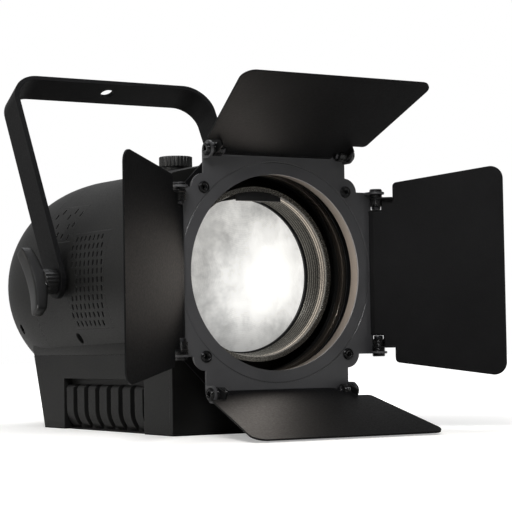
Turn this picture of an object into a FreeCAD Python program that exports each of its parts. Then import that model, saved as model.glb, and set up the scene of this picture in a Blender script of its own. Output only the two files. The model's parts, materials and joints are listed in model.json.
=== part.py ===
import FreeCAD, Part
import math
import os
import re
import Sketcher
from FreeCAD import Placement, Rotation, Vector

# An LED stage spot with a zoom lens, a tilting yoke and four barn-door leaves.
# Frame: X to the right, Y from the lens to the rear, Z up. The origin is the centre of the
# base's underside. The head pieces are drawn about the optical axis, with Y counted from the
# front of the barn-door plate, and are then seated on the origin by seat_on_axis.

SIZES = {
    # base and casing
    "axis_height": 140, "base_width": 171, "base_length": 267, "plate_lead": 36,
    "moulding_wall": 2.5, "bottom_plate_thick": 1.5, "base_join_drop": 69.5, "rear_rise": 24.5,
    "scoop_front": 89, "scoop_rear": 257, "scoop_depth": 9, "scoop_drop": 91.5,
    "rib_count": 7, "rib_width": 15, "rib_pitch": 24, "rib_curve": 24,
    "side_screw_radius": 5, "casing_screw_place": 209.8, "casing_screw_drop": 53.6,
    "dome_screw_place": 335.7, "dome_screw_drop": 42.8,
    "casing_front_radius": 103, "casing_rear_radius": 106, "casing_end": 285,
    "dome_length": 136, "dome_fullness": 2.8, "top_flat_height": 102.2, "seam_gap": 0.2,
    "panel_thick": 6, "panel_half_width": 95, "panel_shoulder": 84, "panel_crown": 98,
    "panel_waist": 40, "panel_corner": 20,
    # perforations
    "vent_rows": 11, "vent_columns": 8, "vent_row_pitch": 7.85, "vent_column_pitch": 8.75,
    "vent_start": 134, "vent_bow": 0.0078, "vent_wide": 3.2, "vent_tall": 5.6,
    "exhaust_radius": 40, "exhaust_hole": 3.2, "exhaust_ring": 17, "exhaust_step": 15,
    # beam opening and accessory holder
    "beam_radius": 85.2, "bore_radius": 87, "holder_half": 98, "holder_back": 26,
    "slot_depth": 10, "steel_sheet": 2, "holder_lip": 7, "mount_frame_half": 95,
    "holder_corner": 42,
    "ring_flange_radius": 96, "ring_neck_radius": 90, "running_gap": 0.3,
    # barn-door plate and leaves
    "plate_half_width": 99.8, "plate_half_height": 103.9, "plate_thick": 2, "lobe_radius": 12.6,
    "corner_screw": 72, "groove_radius": 96.3, "groove_depth": 0.5, "groove_width": 0.9,
    "ear_place": 70, "ear_radius": 7.5, "hinge_forward": 8, "leaf_ear_radius": 6,
    "leaf_length": 113, "leaf_thick": 1.5, "leaf_neck_half": 67, "leaf_neck": 15,
    "leaf_root_half": 80, "leaf_tip_half": 94, "leaf_corner": 11, "leaf_start": 5.5,
    "leaf_tab_half": 54, "leaf_tab": 3, "leaf_root_corner": 4,
    "top_leaf_angle": 27.5, "right_leaf_angle": 50, "bottom_leaf_angle": 17.5,
    "left_leaf_angle": 51, "hinge_bolt_radius": 2, "pin_clearance": 0.05,
    # lens carriage
    "tube_front": 34, "tube_length": 66, "tube_radius": 76.5, "tube_bore": 73.5,
    "glare_count": 8, "glare_pitch": 3, "glare_step": 0.35, "glare_depth": 1.1,
    "lens_radius": 71.5, "lens_front": 65, "lens_edge": 8, "lens_bulge": 9,
    "rod_radius": 4, "rod_place": 92, "carriage_plate": 3, "arm_height": 88, "arm_width": 28,
    "knob_place": 183, "knob_radius": 16, "knob_height": 10, "collar_radius": 13,
    "collar_height": 6, "stem_radius": 4, "zoom_back": 90, "zoom_front": 8,
    # light engine
    "bulkhead_place": 236, "sink_length": 84, "sink_radius": 78, "sink_hub": 24, "fin_count": 24,
    "fan_half": 46, "fan_depth": 25, "fan_bore": 43, "blade_count": 7,
    # yoke and clamps
    "pivot_place": 216, "yoke_half_width": 113, "yoke_height": 234, "yoke_bar": 5,
    "yoke_width": 32, "yoke_bend": 30, "yoke_tilt": 30, "hanging_hole_radius": 7,
    "stud_radius": 5, "boss_radius": 8.5, "washer_thick": 1, "hub_radius": 12, "hub_length": 12,
    "lever_length": 71, "lever_width": 19, "lever_thick": 18, "lever_sweep": 6,
    "lever_corner": 4,
    # rear panel
    "socket_radius": 12, "socket_pitch": 28, "socket_height": -24.3, "button_radius": 3.2,
    "button_pitch": 11, "button_height": -30, "panel_middle": 41, "panel_inset": 1.2,
    "socket_margin": 15.5, "display_width": 40, "display_margin": 7.5, "button_margin": 44,
}

doc = FreeCAD.newDocument("StageSpot")
sheet = doc.addObject("Spreadsheet::Sheet", "Sizes")
for row, (alias, value) in enumerate(SIZES.items(), 1):
    sheet.set(f"A{row}", alias)
    sheet.set(f"B{row}", str(value))
    sheet.setAlias(f"B{row}", alias)
doc.recompute()

SUBPARTS = []


# ---------------------------------------------------------------- helpers
def bound(text):
    """An expression with each size's alias pointed at the sheet."""
    return re.sub(r"[a-z_]{3,}", lambda m: "Sizes." + m[0] if m[0] in SIZES else m[0], str(text))


def number(text):
    """What an expression is worth now, in millimetres or degrees."""
    return float(sheet.evalExpression(bound(text)))


def bind(thing, **sizes):
    for name, text in sizes.items():
        thing.setExpression(name, bound(text))
    return thing


def put(thing, x=0, y=0, z=0, turn=None):
    """Binds an object's place, and turns it by a fixed rotation."""
    if turn:
        thing.Placement = Placement(Vector(), turn)
    for axis, text in zip("xyz", (x, y, z)):
        thing.setExpression(f"Placement.Base.{axis}", bound(text))
    return thing


def box(name, x, y, z):
    """A box between two values along each axis."""
    thing = doc.addObject("Part::Box", name)
    bind(thing, Length=f"({x[1]}) - ({x[0]})", Width=f"({y[1]}) - ({y[0]})",
         Height=f"({z[1]}) - ({z[0]})")
    return put(thing, x[0], y[0], z[0])


TURNS = {"X": Rotation(Vector(0, 1, 0), 90), "Y": Rotation(Vector(1, 0, 0), -90), "Z": Rotation()}


def rod(name, axis, radius, span, x=0, y=0, z=0):
    """A cylinder along an axis, between two values; the other two place its centre line."""
    thing = doc.addObject("Part::Cylinder", name)
    bind(thing, Radius=radius, Height=f"({span[1]}) - ({span[0]})")
    place = {"X": (span[0], y, z), "Y": (x, span[0], z), "Z": (x, y, span[0])}[axis]
    return put(thing, *place, turn=TURNS[axis])


def cut(name, base, tools):
    thing = doc.addObject("Part::Cut", name)
    thing.Base = base
    thing.Tool = tools[0] if len(tools) == 1 else fuse(name + "_tools", tools)
    return thing


def fuse(name, things):
    thing = doc.addObject("Part::MultiFuse", name)
    thing.Shapes = things
    return thing


def common(name, things):
    thing = doc.addObject("Part::MultiCommon", name)
    thing.Shapes = things
    return thing


def subpart(label, thing):
    thing.Label = label
    SUBPARTS.append(thing)
    return thing


def wrapped(thing):
    """A plain box or cylinder keeps its own place inside a compound, which can then be seated."""
    if thing.TypeId not in ("Part::Box", "Part::Cylinder"):
        return thing
    return together(thing.Name + "_piece", [thing])


def together(name, things):
    """Separate solids of one node."""
    group = doc.addObject("Part::Compound", name)
    group.Links = things
    return group


def seat_on_axis(label, thing):
    """Moves a piece drawn about the optical axis to its place over the base."""
    thing = wrapped(thing)
    put(thing, 0, "-(base_length / 2 + plate_lead)", "axis_height")
    return subpart(label, thing)


def sketch(body, plane, outline, offset=None):
    """A closed outline on one of the body's own planes. A point is (across, up), and one with
    a radius and a side after it starts an arc: side 1 has its centre on the left, -1 on the
    right. Every point's two distances and every radius are bound to the sheet."""
    support = [f for f in body.Origin.OriginFeatures if f.Role == plane + "_Plane"][0]
    drawing = body.newObject("Sketcher::SketchObject", body.Name + "_outline")
    drawing.AttachmentSupport = [(support, "")]
    drawing.MapMode = "FlatFace"
    if offset is not None:
        drawing.setExpression("AttachmentOffset.Base.z", bound(offset))
    places = [Vector(number(p[0]), number(p[1]), 0) for p in outline]
    ends = []
    for index, point in enumerate(outline):
        start, finish = places[index], places[(index + 1) % len(places)]
        if len(point) == 2:
            drawing.addGeometry(Part.LineSegment(start, finish))
            ends.append((1, 2))
            continue
        radius, side = number(point[2]), point[3]
        chord = finish - start
        rise = math.sqrt(max(radius ** 2 - chord.Length ** 2 / 4, 0))
        left = Vector(-chord.y, chord.x, 0).normalize()
        centre = (start + finish) * 0.5 + left * rise * side
        first, last = (start, finish) if side > 0 else (finish, start)
        angles = [math.atan2(p.y - centre.y, p.x - centre.x) for p in (first, last)]
        circle = Part.Circle(centre, Vector(0, 0, 1), radius)
        drawing.addGeometry(Part.ArcOfCircle(circle, angles[0], angles[1]))
        ends.append((1, 2) if side > 0 else (2, 1))
    count = len(outline)
    for index in range(count):
        after = (index + 1) % count
        drawing.addConstraint(
            Sketcher.Constraint("Coincident", index, ends[index][1], after, ends[after][0]))
    for index, point in enumerate(outline):
        for kind, text in (("DistanceX", point[0]), ("DistanceY", point[1])):
            rule = Sketcher.Constraint(kind, -1, 1, index, ends[index][0], number(text))
            drawing.setExpression(f"Constraints[{drawing.addConstraint(rule)}]", bound(text))
        if len(point) > 2:
            rule = Sketcher.Constraint("Radius", index, number(point[2]))
            drawing.setExpression(f"Constraints[{drawing.addConstraint(rule)}]", bound(point[2]))
    return drawing


def pad(name, plane, outline, length, offset=None, middle=False):
    """A PartDesign body with one outline padded along its plane's normal (XZ pads towards -Y)."""
    body = doc.addObject("PartDesign::Body", name)
    drawing = sketch(body, plane, outline, offset)
    feature = body.newObject("PartDesign::Pad", name + "_pad")
    feature.Profile = drawing
    bind(feature, Length=length)
    feature.Midplane = middle
    drawing.Visibility = False
    return body


def revolve(name, outline, plane="YZ", axis="H_Axis"):
    """A PartDesign body turned from a (distance along the axis, radius) outline."""
    body = doc.addObject("PartDesign::Body", name)
    drawing = sketch(body, plane, outline)
    feature = body.newObject("PartDesign::Revolution", name + "_turn")
    feature.Profile = drawing
    feature.ReferenceAxis = (drawing, [axis])
    feature.Angle = 360
    return body


def soften(body, radius, chosen):
    """A fillet on the edges that the test picks."""
    doc.recompute()
    feature = body.Tip
    names = [f"Edge{i}" for i, edge in enumerate(feature.Shape.Edges, 1) if chosen(edge)]
    rounded = body.newObject("PartDesign::Fillet", body.Name + "_fillet")
    rounded.Base = (feature, names)
    bind(rounded, Radius=radius)
    return body


def along(axis):
    """Picks straight edges along an axis."""
    def test(edge):
        if not isinstance(edge.Curve, Part.Line):
            return False
        return abs(getattr(edge.tangentAt(edge.FirstParameter), axis)) > 0.999
    return test


def tube(name, inner, outer, span, axis="Y", **place):
    """A plain ring or sleeve."""
    return cut(name, rod(name + "_outer", axis, outer, span, **place),
               [rod(name + "_bore", axis, inner, (f"{span[0]} - 1", f"{span[1]} + 1"), **place)])


CORNERS = ((-1, -1), (1, -1), (1, 1), (-1, 1))


def mirrored(span, sign):
    """A pair of values along X, or its mirror image."""
    return span if sign > 0 else tuple(f"-({v})" for v in reversed(span))


# ---------------------------------------------------------------- outer casing
CASING_START = "plate_lead + panel_thick"


def body_of_revolution(name, shrink):
    """The casing and dome as one solid round the optical axis, drawn in by the given wall.
    The dome's outline is a superellipse."""
    start, join = number(CASING_START), number("casing_end")
    front, rear = (number(r) - shrink for r in ("casing_front_radius", "casing_rear_radius"))
    reach, power = number("dome_length") - shrink, 2 / number("dome_fullness")
    turns = [math.radians(a) for a in (0, 6, 15, 27, 40, 53, 65, 76, 85, 90)]
    points = [Vector(0, join + reach * math.sin(t) ** power, rear * math.cos(t) ** power)
              for t in turns[:-1]] + [Vector(0, join + reach, 0)]
    curve = Part.BSplineCurve()
    curve.interpolate(Points=points, InitialTangent=Vector(0, 1, 0), FinalTangent=Vector(0, 0, -1))
    corners = [points[-1], Vector(0, start, 0), Vector(0, start, front), points[0]]
    sides = [Part.makeLine(a, b) for a, b in zip(corners, corners[1:])]
    face = Part.Face(Part.Wire([curve.toShape()] + sides))
    thing = doc.addObject("Part::Feature", name)
    thing.Shape = face.revolve(Vector(), Vector(0, 1, 0), 360)
    return thing


def casing_pieces():
    wall = number("moulding_wall")
    behind = ("casing_end", "casing_end + dome_length + 1")
    across = ("-casing_rear_radius - 1", "casing_rear_radius + 1")
    flat_tool = box("top_flat_tool", ("-base_width / 2", "base_width / 2"), (0, behind[1]),
                    ("top_flat_height", "casing_rear_radius + 5"))
    under_flat = box("under_flat_tool", ("-base_width / 2", "base_width / 2"), (0, behind[1]),
                     ("top_flat_height - moulding_wall", "casing_rear_radius + 5"))
    outer = cut("shell_outer", body_of_revolution("shell_form", 0), [flat_tool])
    inner = cut("shell_inner", body_of_revolution("shell_hollow", wall), [under_flat])

    # The round casing, open at both ends, with the knob's slot and the two pivot bosses' holes.
    shell = common("casing_block",
                   [outer, box("casing_length", across, ("0", "casing_end"), across)])
    slot = box("knob_slot", ("-stem_radius - 0.5", "stem_radius + 0.5"),
               ("knob_place - zoom_front - stem_radius - 0.5",
                "knob_place + zoom_back + stem_radius + 0.5"), (90, "casing_rear_radius + 1"))
    bosses = rod("boss_holes", "X", "boss_radius + seam_gap", across, y="pivot_place")
    screws = rod("casing_screw_holes", "X", "side_screw_radius", across,
                 y="casing_screw_place", z="-casing_screw_drop")
    ends = rod("casing_mouth", "Y", "casing_front_radius - moulding_wall", (0, 60))
    bottom = box("wiring_slot", (-30, 30), (70, 150), ("-casing_rear_radius - 1", -60))
    casing = cut("casing", shell, [inner, slot, bosses, screws, ends, bottom])
    windows = []
    for side, sign in (("left", -1), ("right", 1)):
        patches = []
        for field, places, y, z in (("main", main_field(), *MAIN_WINDOW),
                                    ("upper", UPPER_FIELD, *UPPER_WINDOW)):
            span = mirrored((60, "casing_rear_radius + 1"), sign)
            windows.append(box(f"window_{field}_{side}", span, y, z))
            patch = common(f"patch_{field}_{side}", [casing, windows[-1]])
            patches.append(cut(f"vents_{field}_{side}", patch,
                               [slots(f"slots_{field}_{side}", places, sign)]))
        seat_on_axis(f"vent_grille_{side}", together(f"grille_{side}", patches))
    seat_on_axis("casing_shell", cut("casing_with_windows", casing, windows))

    # The rear dome, which closes the casing, and the round grille at its end.
    block = common("dome_block", [outer, box("dome_length_tool", across, behind, across)])
    screws = rod("dome_screw_holes", "X", "side_screw_radius", across,
                 y="dome_screw_place", z="-dome_screw_drop")
    dome = cut("dome", block, [inner, screws])
    end = rod("exhaust_window", "Y", "exhaust_radius", ("casing_end", behind[1]))
    holes = [rod(f"exhaust_{ring}_{i}", "Y", "exhaust_hole", ("casing_end", behind[1]),
                 x=f"(exhaust_ring + exhaust_step * {ring}) * cos({30 * i})",
                 z=f"(exhaust_ring + exhaust_step * {ring}) * sin({30 * i})")
             for ring in range(2) for i in range(12)]
    seat_on_axis("exhaust_grille", cut("exhaust", common("exhaust_patch", [dome, end]), holes))
    seat_on_axis("rear_dome", cut("dome_with_window", dome, [end]))


# The places (Y, Z) of the staggered slots above the yoke's pivot.
UPPER_FIELD = ((262.9, 69.2), (234.9, 68), (218.9, 64.3), (272.5, 64.9), (243.1, 62.8),
               (222, 54.1), (258, 54.9), (231.7, 53.1), (236.4, 43.8), (222.1, 42.1),
               (248, 46.1))
UPPER_WINDOW = ((214, 277), (38, 73.5))
MAIN_WINDOW = (("vent_start - 4", "vent_start + vent_columns * vent_column_pitch + 1.2"),
               ("-vent_rows * vent_row_pitch / 2 - 2", "vent_rows * vent_row_pitch / 2 + 1"))


def main_field():
    """The places (Y, Z) of the rows of slots before the pivot. The rows bow to the rear above
    and below, and the first, middle and last rows are one slot shorter."""
    rows, columns = int(number("vent_rows")), int(number("vent_columns"))
    middle, places = (rows - 1) / 2, []
    for row in range(rows):
        z = number("vent_row_pitch") * (middle - row) - 0.8
        start = number("vent_start") + number("vent_bow") * z ** 2
        short = row in (0, rows - 1) or abs(row - middle) <= 1
        places += [(start + number("vent_column_pitch") * i, z)
                   for i in range(columns - 1 if short else columns)]
    return places


def slots(name, places, sign):
    """Upright slots with round ends, as tools that reach through one side of the casing."""
    half = number("vent_wide") / 2
    rise = number("vent_tall") / 2 - half
    tools = []
    for y, z in places:
        high, low = Vector(60 * sign, y, z + rise), Vector(60 * sign, y, z - rise)
        across, round_end = Vector(0, half, 0), Vector(0, 0, half)
        edges = [Part.Arc(high - across, high + round_end, high + across).toShape(),
                 Part.makeLine(high + across, low + across),
                 Part.Arc(low + across, low - round_end, low - across).toShape(),
                 Part.makeLine(low - across, high - across)]
        tools.append(Part.Face(Part.Wire(edges)).extrude(Vector(60 * sign, 0, 0)))
    thing = doc.addObject("Part::Feature", name)
    thing.Shape = Part.makeCompound(tools)
    return thing


def front_panel():
    half, crown, waist = "panel_half_width", "panel_crown", "panel_waist"
    foot = "base_width / 2"
    low = "-axis_height + bottom_plate_thick + seam_gap"
    outline = [(f"-{foot}", low), (foot, low), (foot, "-panel_waist - 32"), (half, f"-{waist}"),
               (half, "panel_shoulder", "panel_half_width * 3.4", 1),
               ("0", crown, "panel_half_width * 3.4", 1), (f"-{half}", "panel_shoulder"),
               (f"-{half}", f"-{waist}"), (f"-{foot}", "-panel_waist - 32")]
    body = pad("panel", "XZ", outline, "panel_thick", "-(plate_lead + panel_thick)")
    high = number("panel_shoulder")
    soften(body, "panel_corner",
           lambda e: along("y")(e) and abs(e.CenterOfMass.z - high) < 1)
    plate = cut("panel_cut", body, [rod("panel_bore", "Y", "bore_radius", (30, 60))])
    seat_on_axis("front_panel", plate)
    seat_on_axis("barrel_ring", tube("barrel", "bore_radius", "bore_radius + 3",
                                     ("holder_back + steel_sheet", "plate_lead")))


def base_pieces():
    side, wall = "base_width / 2", "moulding_wall"
    front, rear = CASING_START, "plate_lead + base_length"
    low, top = "-axis_height + bottom_plate_thick", "-base_join_drop"
    side_view = [(front, low), (rear, low), (f"{rear} + rear_rise", top), (front, top)]
    block = pad("tray_block", "YZ", side_view, "base_width", middle=True)
    # The top edge turns inwards as a deck that always reaches the casing.
    inside = [(f"{front} - 1", f"{low} - 1"), (f"{rear} - {wall}", f"{low} - 1"),
              (f"{rear} + rear_rise - {wall}", f"{top} - {wall}"),
              (f"{front} - 1", f"{top} - {wall}")]
    hollow = pad("tray_hollow", "YZ", inside, f"base_width - 2 * {wall}", middle=True)
    round_tool = body_of_revolution("tray_cradle", -number("seam_gap"))
    window = box("rear_window", (f"-({side}) + {wall}", f"{side} - {wall}"),
                 (f"{rear} - 16", f"{rear} + rear_rise + 20"),
                 ("-axis_height + 4.3", "-casing_rear_radius - 1.3"))
    recesses, walls = [], []
    back, edge = f"{side} - scoop_depth", "-scoop_drop"
    for name, sign in (("left", -1), ("right", 1)):
        recesses.append(box(f"scoop_{name}", mirrored((back, f"{side} + 1"), sign),
                            ("scoop_front", "scoop_rear"), (f"{low} - 1", edge)))
        liner = box(f"scoop_liner_{name}", mirrored((f"{back} - {wall}", back), sign),
                    (f"scoop_front - {wall}", f"scoop_rear + {wall}"), (low, f"{edge} + {wall}"))
        first = "scoop_front + rib_width / 2 + 5"
        vents = [box(f"scoop_vent_{name}_{i}",
                     mirrored((f"{back} - {wall} - 1", f"{back} + 1"), sign),
                     (f"{first} + rib_pitch * {i} + rib_width / 2 + 1",
                      f"{first} + rib_pitch * {i + 1} - rib_width / 2 - 1"),
                     (f"{low} + 9", f"{edge} - 9")) for i in range(int(number("rib_count")) - 1)]
        walls.append(cut(f"scoop_back_{name}", liner, vents))
        rim = mirrored((back, f"{side} - {wall}"), sign)
        length = (f"scoop_front - {wall}", f"scoop_rear + {wall}")
        for tag, ys, zs in (("front", (length[0], "scoop_front"), (low, f"{edge} + {wall}")),
                            ("rear", ("scoop_rear", length[1]), (low, f"{edge} + {wall}")),
                            ("top", length, (edge, f"{edge} + {wall}"))):
            walls.append(box(f"scoop_{tag}_{name}", rim, ys, zs))
        walls += [rib(f"rib_{name}_{i}", sign, f"{first} + rib_pitch * {i}")
                  for i in range(int(number("rib_count")))]
    tray = cut("tray", block, [hollow, round_tool, window] + recesses)
    seat_on_axis("base_tray", fuse("tray_with_scoops", [tray] + walls))

    # The bottom plate steps in under the scoops, so that they are open below.
    plate = box("bottom", (f"-({side})", side), ("plate_lead", rear), (0, "bottom_plate_thick"))
    notches = [box(f"bottom_notch_{name}", mirrored((f"{side} - 5", f"{side} + 1"), sign),
                   ("scoop_front", "scoop_rear"), (-1, 5)) for name, sign in
               (("left", -1), ("right", 1))]
    plate = cut("bottom_cut", plate, notches)
    put(plate, 0, "-(base_length / 2 + plate_lead)", 0)
    subpart("base_plate", plate)


def rib(name, sign, middle):
    """One louvre of the side vent: straight above, and curved in towards the bottom."""
    side, back = "base_width / 2", "base_width / 2 - scoop_depth - 0.5"
    low, high = "-axis_height + bottom_plate_thick", "-scoop_drop - 6"
    outline = [(back, low, "rib_curve", 1), (f"{side} - 0.8", f"{low} + rib_curve * 0.76"),
               (f"{side} - 0.8", f"{high} - 4", "5", 1), (f"{side} - 4", high), (back, high)]
    body = pad(name, "XZ", outline, "rib_width", f"-({middle} + rib_width / 2)")
    if sign > 0:
        return body
    mirror = doc.addObject("Part::Mirroring", name + "_mirror")
    mirror.Source = body
    mirror.Normal = Vector(1, 0, 0)
    return mirror


# ---------------------------------------------------------------- accessory holder
def square_sheet(name, half, corner, span):
    """A square sheet across the axis with its four corners cut off."""
    short = f"({half} - {corner})"
    outline = [(half, f"-{short}"), (half, short), (short, half), (f"-{short}", half),
               (f"-{half}", short), (f"-{half}", f"-{short}"), (f"-{short}", f"-{half}"),
               (short, f"-{half}")]
    return pad(name, "XZ", outline, f"({span[1]}) - ({span[0]})", f"-({span[1]})")


def holder():
    """The back plate with its three channels, open at the top, and the fixed mount in it."""
    half, back, lip = "holder_half", "holder_back", "holder_lip"
    front, length = "holder_back - slot_depth - 2 * steel_sheet", "holder_half - holder_corner"
    sheet_span = (back, f"{back} + steel_sheet")
    plate = square_sheet("holder_plate", half, "holder_corner", sheet_span)
    walls = []
    for name, sign in (("left", -1), ("right", 1)):
        walls.append(box(f"channel_{name}", mirrored((half, f"{half} + steel_sheet"), sign),
                         (front, sheet_span[1]), (f"-({length})", length)))
        walls.append(box(f"lip_{name}",
                         mirrored((f"{half} - {lip}", f"{half} + steel_sheet"), sign),
                         (f"{front} - steel_sheet", front), (f"-({length})", length)))
    walls.append(box("channel_floor", (f"-({length})", length),
                     (f"{front} - steel_sheet", sheet_span[1]),
                     (f"-{half} - steel_sheet", f"-{half}")))
    spacers = [rod(f"spacer_{i}", "Y", 5, (sheet_span[1], "plate_lead"),
                   x=f"{sx} * corner_screw", z=f"{sz} * corner_screw")
               for i, (sx, sz) in enumerate(CORNERS)]
    shape = cut("holder_cut", fuse("holder_form", [plate] + walls + spacers),
                [rod("holder_bore", "Y", "bore_radius + 3 + seam_gap", (0, 60))])
    seat_on_axis("accessory_holder", shape)

    # The fixed mount: a square sheet in the channels, with a neck and a flange for the plate.
    seat = ("holder_back - slot_depth - 2 * steel_sheet", "holder_back - slot_depth - steel_sheet")
    square = square_sheet("mount_square", "mount_frame_half", "holder_corner", seat)
    flange = ("plate_thick + running_gap", "plate_thick + running_gap + steel_sheet")
    neck = rod("mount_neck", "Y", "ring_neck_radius", (flange[0], seat[1]))
    rim = rod("mount_rim", "Y", "ring_flange_radius", flange)
    seat_on_axis("mount_ring", cut("mount_cut", fuse("mount_form", [square, neck, rim]),
                                   [rod("mount_bore", "Y", "beam_radius + 1", (-1, 60))]))


# ---------------------------------------------------------------- barn-door plate
SIDES = (("top", 0, "plate_half_height"), ("right", 90, "plate_half_width"),
         ("bottom", 180, "plate_half_height"), ("left", 270, "plate_half_width"))


def about_axis(angle, reach):
    """The place and turn of a hinge at one side: X along the hinge, Z outwards."""
    turn = Rotation(Vector(0, 1, 0), angle)
    return Placement(turn.multVec(Vector(0, -number("hinge_forward"), number(reach))), turn)


def quarter(mirror_x, mirror_z):
    """One quarter of the plate's outline, from its side to its top."""
    sx, sz = ("-" if mirror_x < 0 else ""), ("-" if mirror_z < 0 else "")
    ear = "(ear_place + plate_thick)"
    lobe = "(corner_screw + lobe_radius - 0.6)"
    points = [(f"{sx}plate_half_width", f"{sz}{ear}"), (f"{sx}{lobe}", f"{sz}{ear}"),
              (f"{sx}{ear}", f"{sz}{lobe}"), (f"{sx}{ear}", f"{sz}plate_half_height")]
    return points


def barn_plate():
    around = (quarter(1, 1) + quarter(-1, 1)[::-1] + quarter(-1, -1) + quarter(1, -1)[::-1])
    outline = []
    for index, point in enumerate(around):
        first_of_lobe = index % 4 == 1
        outline.append(point + ("lobe_radius", 1) if first_of_lobe else point)
    body = pad("plate", "XZ", outline, "plate_thick", "-plate_thick")
    ears, holes = [], []
    for side, angle, reach in SIDES:
        webs, pins = [], []
        for tag, sign in (("a", -1), ("b", 1)):
            span = mirrored(("ear_place", "ear_place + plate_thick"), sign)
            webs.append(rod(f"ear_{side}_{tag}", "X", "ear_radius", span))
            webs.append(box(f"ear_web_{side}_{tag}", span, (0, "hinge_forward + plate_thick"),
                            ("-ear_radius", 0)))
            pins.append(rod(f"ear_hole_{side}_{tag}", "X", "hinge_bolt_radius", span))
        for things, group in ((webs, ears), (pins, holes)):
            group.append(fuse(f"{things[0].Name}_pair", things))
            group[-1].Placement = about_axis(angle, reach)
    groove = tube("groove", "groove_radius - groove_width", "groove_radius",
                  ("-1", "groove_depth"))
    opening = rod("plate_opening", "Y", "beam_radius", (-5, 20))
    screws = [rod(f"clip_hole_{i}", "Y", 2, (-5, 20), x=f"{sx} * corner_screw",
                  z=f"{sz} * corner_screw") for i, (sx, sz) in enumerate(CORNERS)]
    shape = cut("plate_cut", fuse("plate_form", [body] + ears),
                [groove, opening] + screws + holes)
    seat_on_axis("barn_door_plate", shape)

    # Four clips behind the plate hook over the mount's flange, each on its own screw.
    flange = "plate_thick + running_gap + steel_sheet + running_gap"
    clips, screws = [], []
    for i, (sx, sz) in enumerate(CORNERS):
        centre = {"x": f"{sx} * corner_screw", "z": f"{sz} * corner_screw"}
        block = rod(f"clip_block_{i}", "Y", 10, ("plate_thick", f"{flange} + steel_sheet"),
                    **centre)
        hook = rod(f"clip_relief_{i}", "Y", "ring_flange_radius + running_gap",
                   ("plate_thick - 1", flange))
        hole = rod(f"clip_bore_{i}", "Y", 2, (0, 20), **centre)
        clips.append(cut(f"clip_cut_{i}", block, [hook, hole]))
        head = rod(f"screw_head_{i}", "Y", 3.9, (-2.4, 0), **centre)
        socket = rod(f"screw_socket_{i}", "Y", 1.6, (-3, -1), **centre)
        shank = rod(f"screw_shank_{i}", "Y", 2, (0, f"{flange} + steel_sheet"), **centre)
        screws.append(fuse(f"screw_{i}", [cut(f"screw_top_{i}", head, [socket]), shank]))
    seat_on_axis("plate_clips", together("clip_set", clips))
    seat_on_axis("clip_screws", together("screw_set", screws))


def leaves():
    """Each leaf is one sheet, hung by two bent ears. It is drawn with its hinge along X,
    pointing forwards (-Y), and is then turned outwards about the hinge."""
    length, neck, start = "leaf_length", "leaf_neck", "leaf_start"
    outline = [("-leaf_tab_half", f"-{start}"), ("-leaf_tab_half", "leaf_tab"),
               ("leaf_tab_half", "leaf_tab"), ("leaf_tab_half", f"-{start}"),
               ("leaf_neck_half", f"-{start}"), ("leaf_neck_half", f"-{neck}"),
               ("leaf_root_half", f"-{neck}"), ("leaf_tip_half", f"-{length}"),
               ("-leaf_tip_half", f"-{length}"), ("-leaf_root_half", f"-{neck}"),
               ("-leaf_neck_half", f"-{neck}"), ("-leaf_neck_half", f"-{start}")]
    tip, root = number("leaf_length"), number("leaf_neck")
    for side, angle, reach in SIDES:
        sheet_body = pad(f"sheet_{side}", "XY", outline, "leaf_thick", middle=True)
        soften(sheet_body, "leaf_corner",
               lambda e: along("z")(e) and abs(e.CenterOfMass.y + tip) < 1)
        soften(sheet_body, "leaf_root_corner",
               lambda e: along("z")(e) and abs(e.CenterOfMass.y + root) < 1
               and abs(e.CenterOfMass.x) > number("leaf_neck_half") + 1)
        pieces, pins = [sheet_body], []
        for tag, sign in (("a", -1), ("b", 1)):
            span = mirrored(("leaf_neck_half - leaf_thick", "leaf_neck_half"), sign)
            pieces.append(rod(f"leaf_ear_{side}_{tag}", "X", "leaf_ear_radius", span))
            pieces.append(box(f"leaf_web_{side}_{tag}", span, (f"-{neck}", "0"),
                              ("-leaf_ear_radius", "leaf_thick / 2")))
            pins.append(rod(f"leaf_pin_hole_{side}_{tag}", "X",
                            "hinge_bolt_radius + pin_clearance", span))
        shape = cut(f"leaf_cut_{side}", fuse(f"leaf_form_{side}", pieces), pins)
        opened = Rotation(Vector(1, 0, 0), -number(f"{side}_leaf_angle"))
        put_on_hinge(f"leaf_{side}", shape, angle, reach, opened)

        bolts, nuts = [], []
        for tag, sign in (("a", -1), ("b", 1)):
            head = mirrored(("ear_place + plate_thick", "ear_place + plate_thick + 2.6"), sign)
            shank = mirrored(("ear_place - 14", "ear_place + plate_thick"), sign)
            washer = mirrored(("leaf_neck_half + 0.2", "ear_place"), sign)
            bolts += [rod(f"hinge_head_{side}_{tag}", "X", 4.4, head),
                      rod(f"hinge_shank_{side}_{tag}", "X", "hinge_bolt_radius", shank)]
            washers = tube(f"hinge_washer_{side}_{tag}", "hinge_bolt_radius", 4.6, washer, "X")
            spring = mirrored(("ear_place - 10", "leaf_neck_half - leaf_thick - 0.2"), sign)
            nut = mirrored(("ear_place - 13.5", "ear_place - 10"), sign)
            nuts += [washers,
                     tube(f"hinge_spring_{side}_{tag}", "hinge_bolt_radius", 3.4, spring, "X"),
                     hexagon(f"hinge_nut_{side}_{tag}", nut)]
        put_on_hinge(f"hinge_bolts_{side}", fuse(f"bolt_form_{side}", bolts), angle, reach,
                     Rotation())
        put_on_hinge(f"hinge_nuts_{side}", together(f"nut_form_{side}", nuts), angle, reach,
                     Rotation())


def hexagon(name, span):
    nut = doc.addObject("Part::Prism", name + "_block")
    nut.Polygon = 6
    bind(nut, Circumradius=4.2, Height=f"({span[1]}) - ({span[0]})")
    put(nut, span[0], 0, 0, turn=TURNS["X"])
    return cut(name, nut, [rod(name + "_bore", "X", "hinge_bolt_radius", span)])


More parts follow.
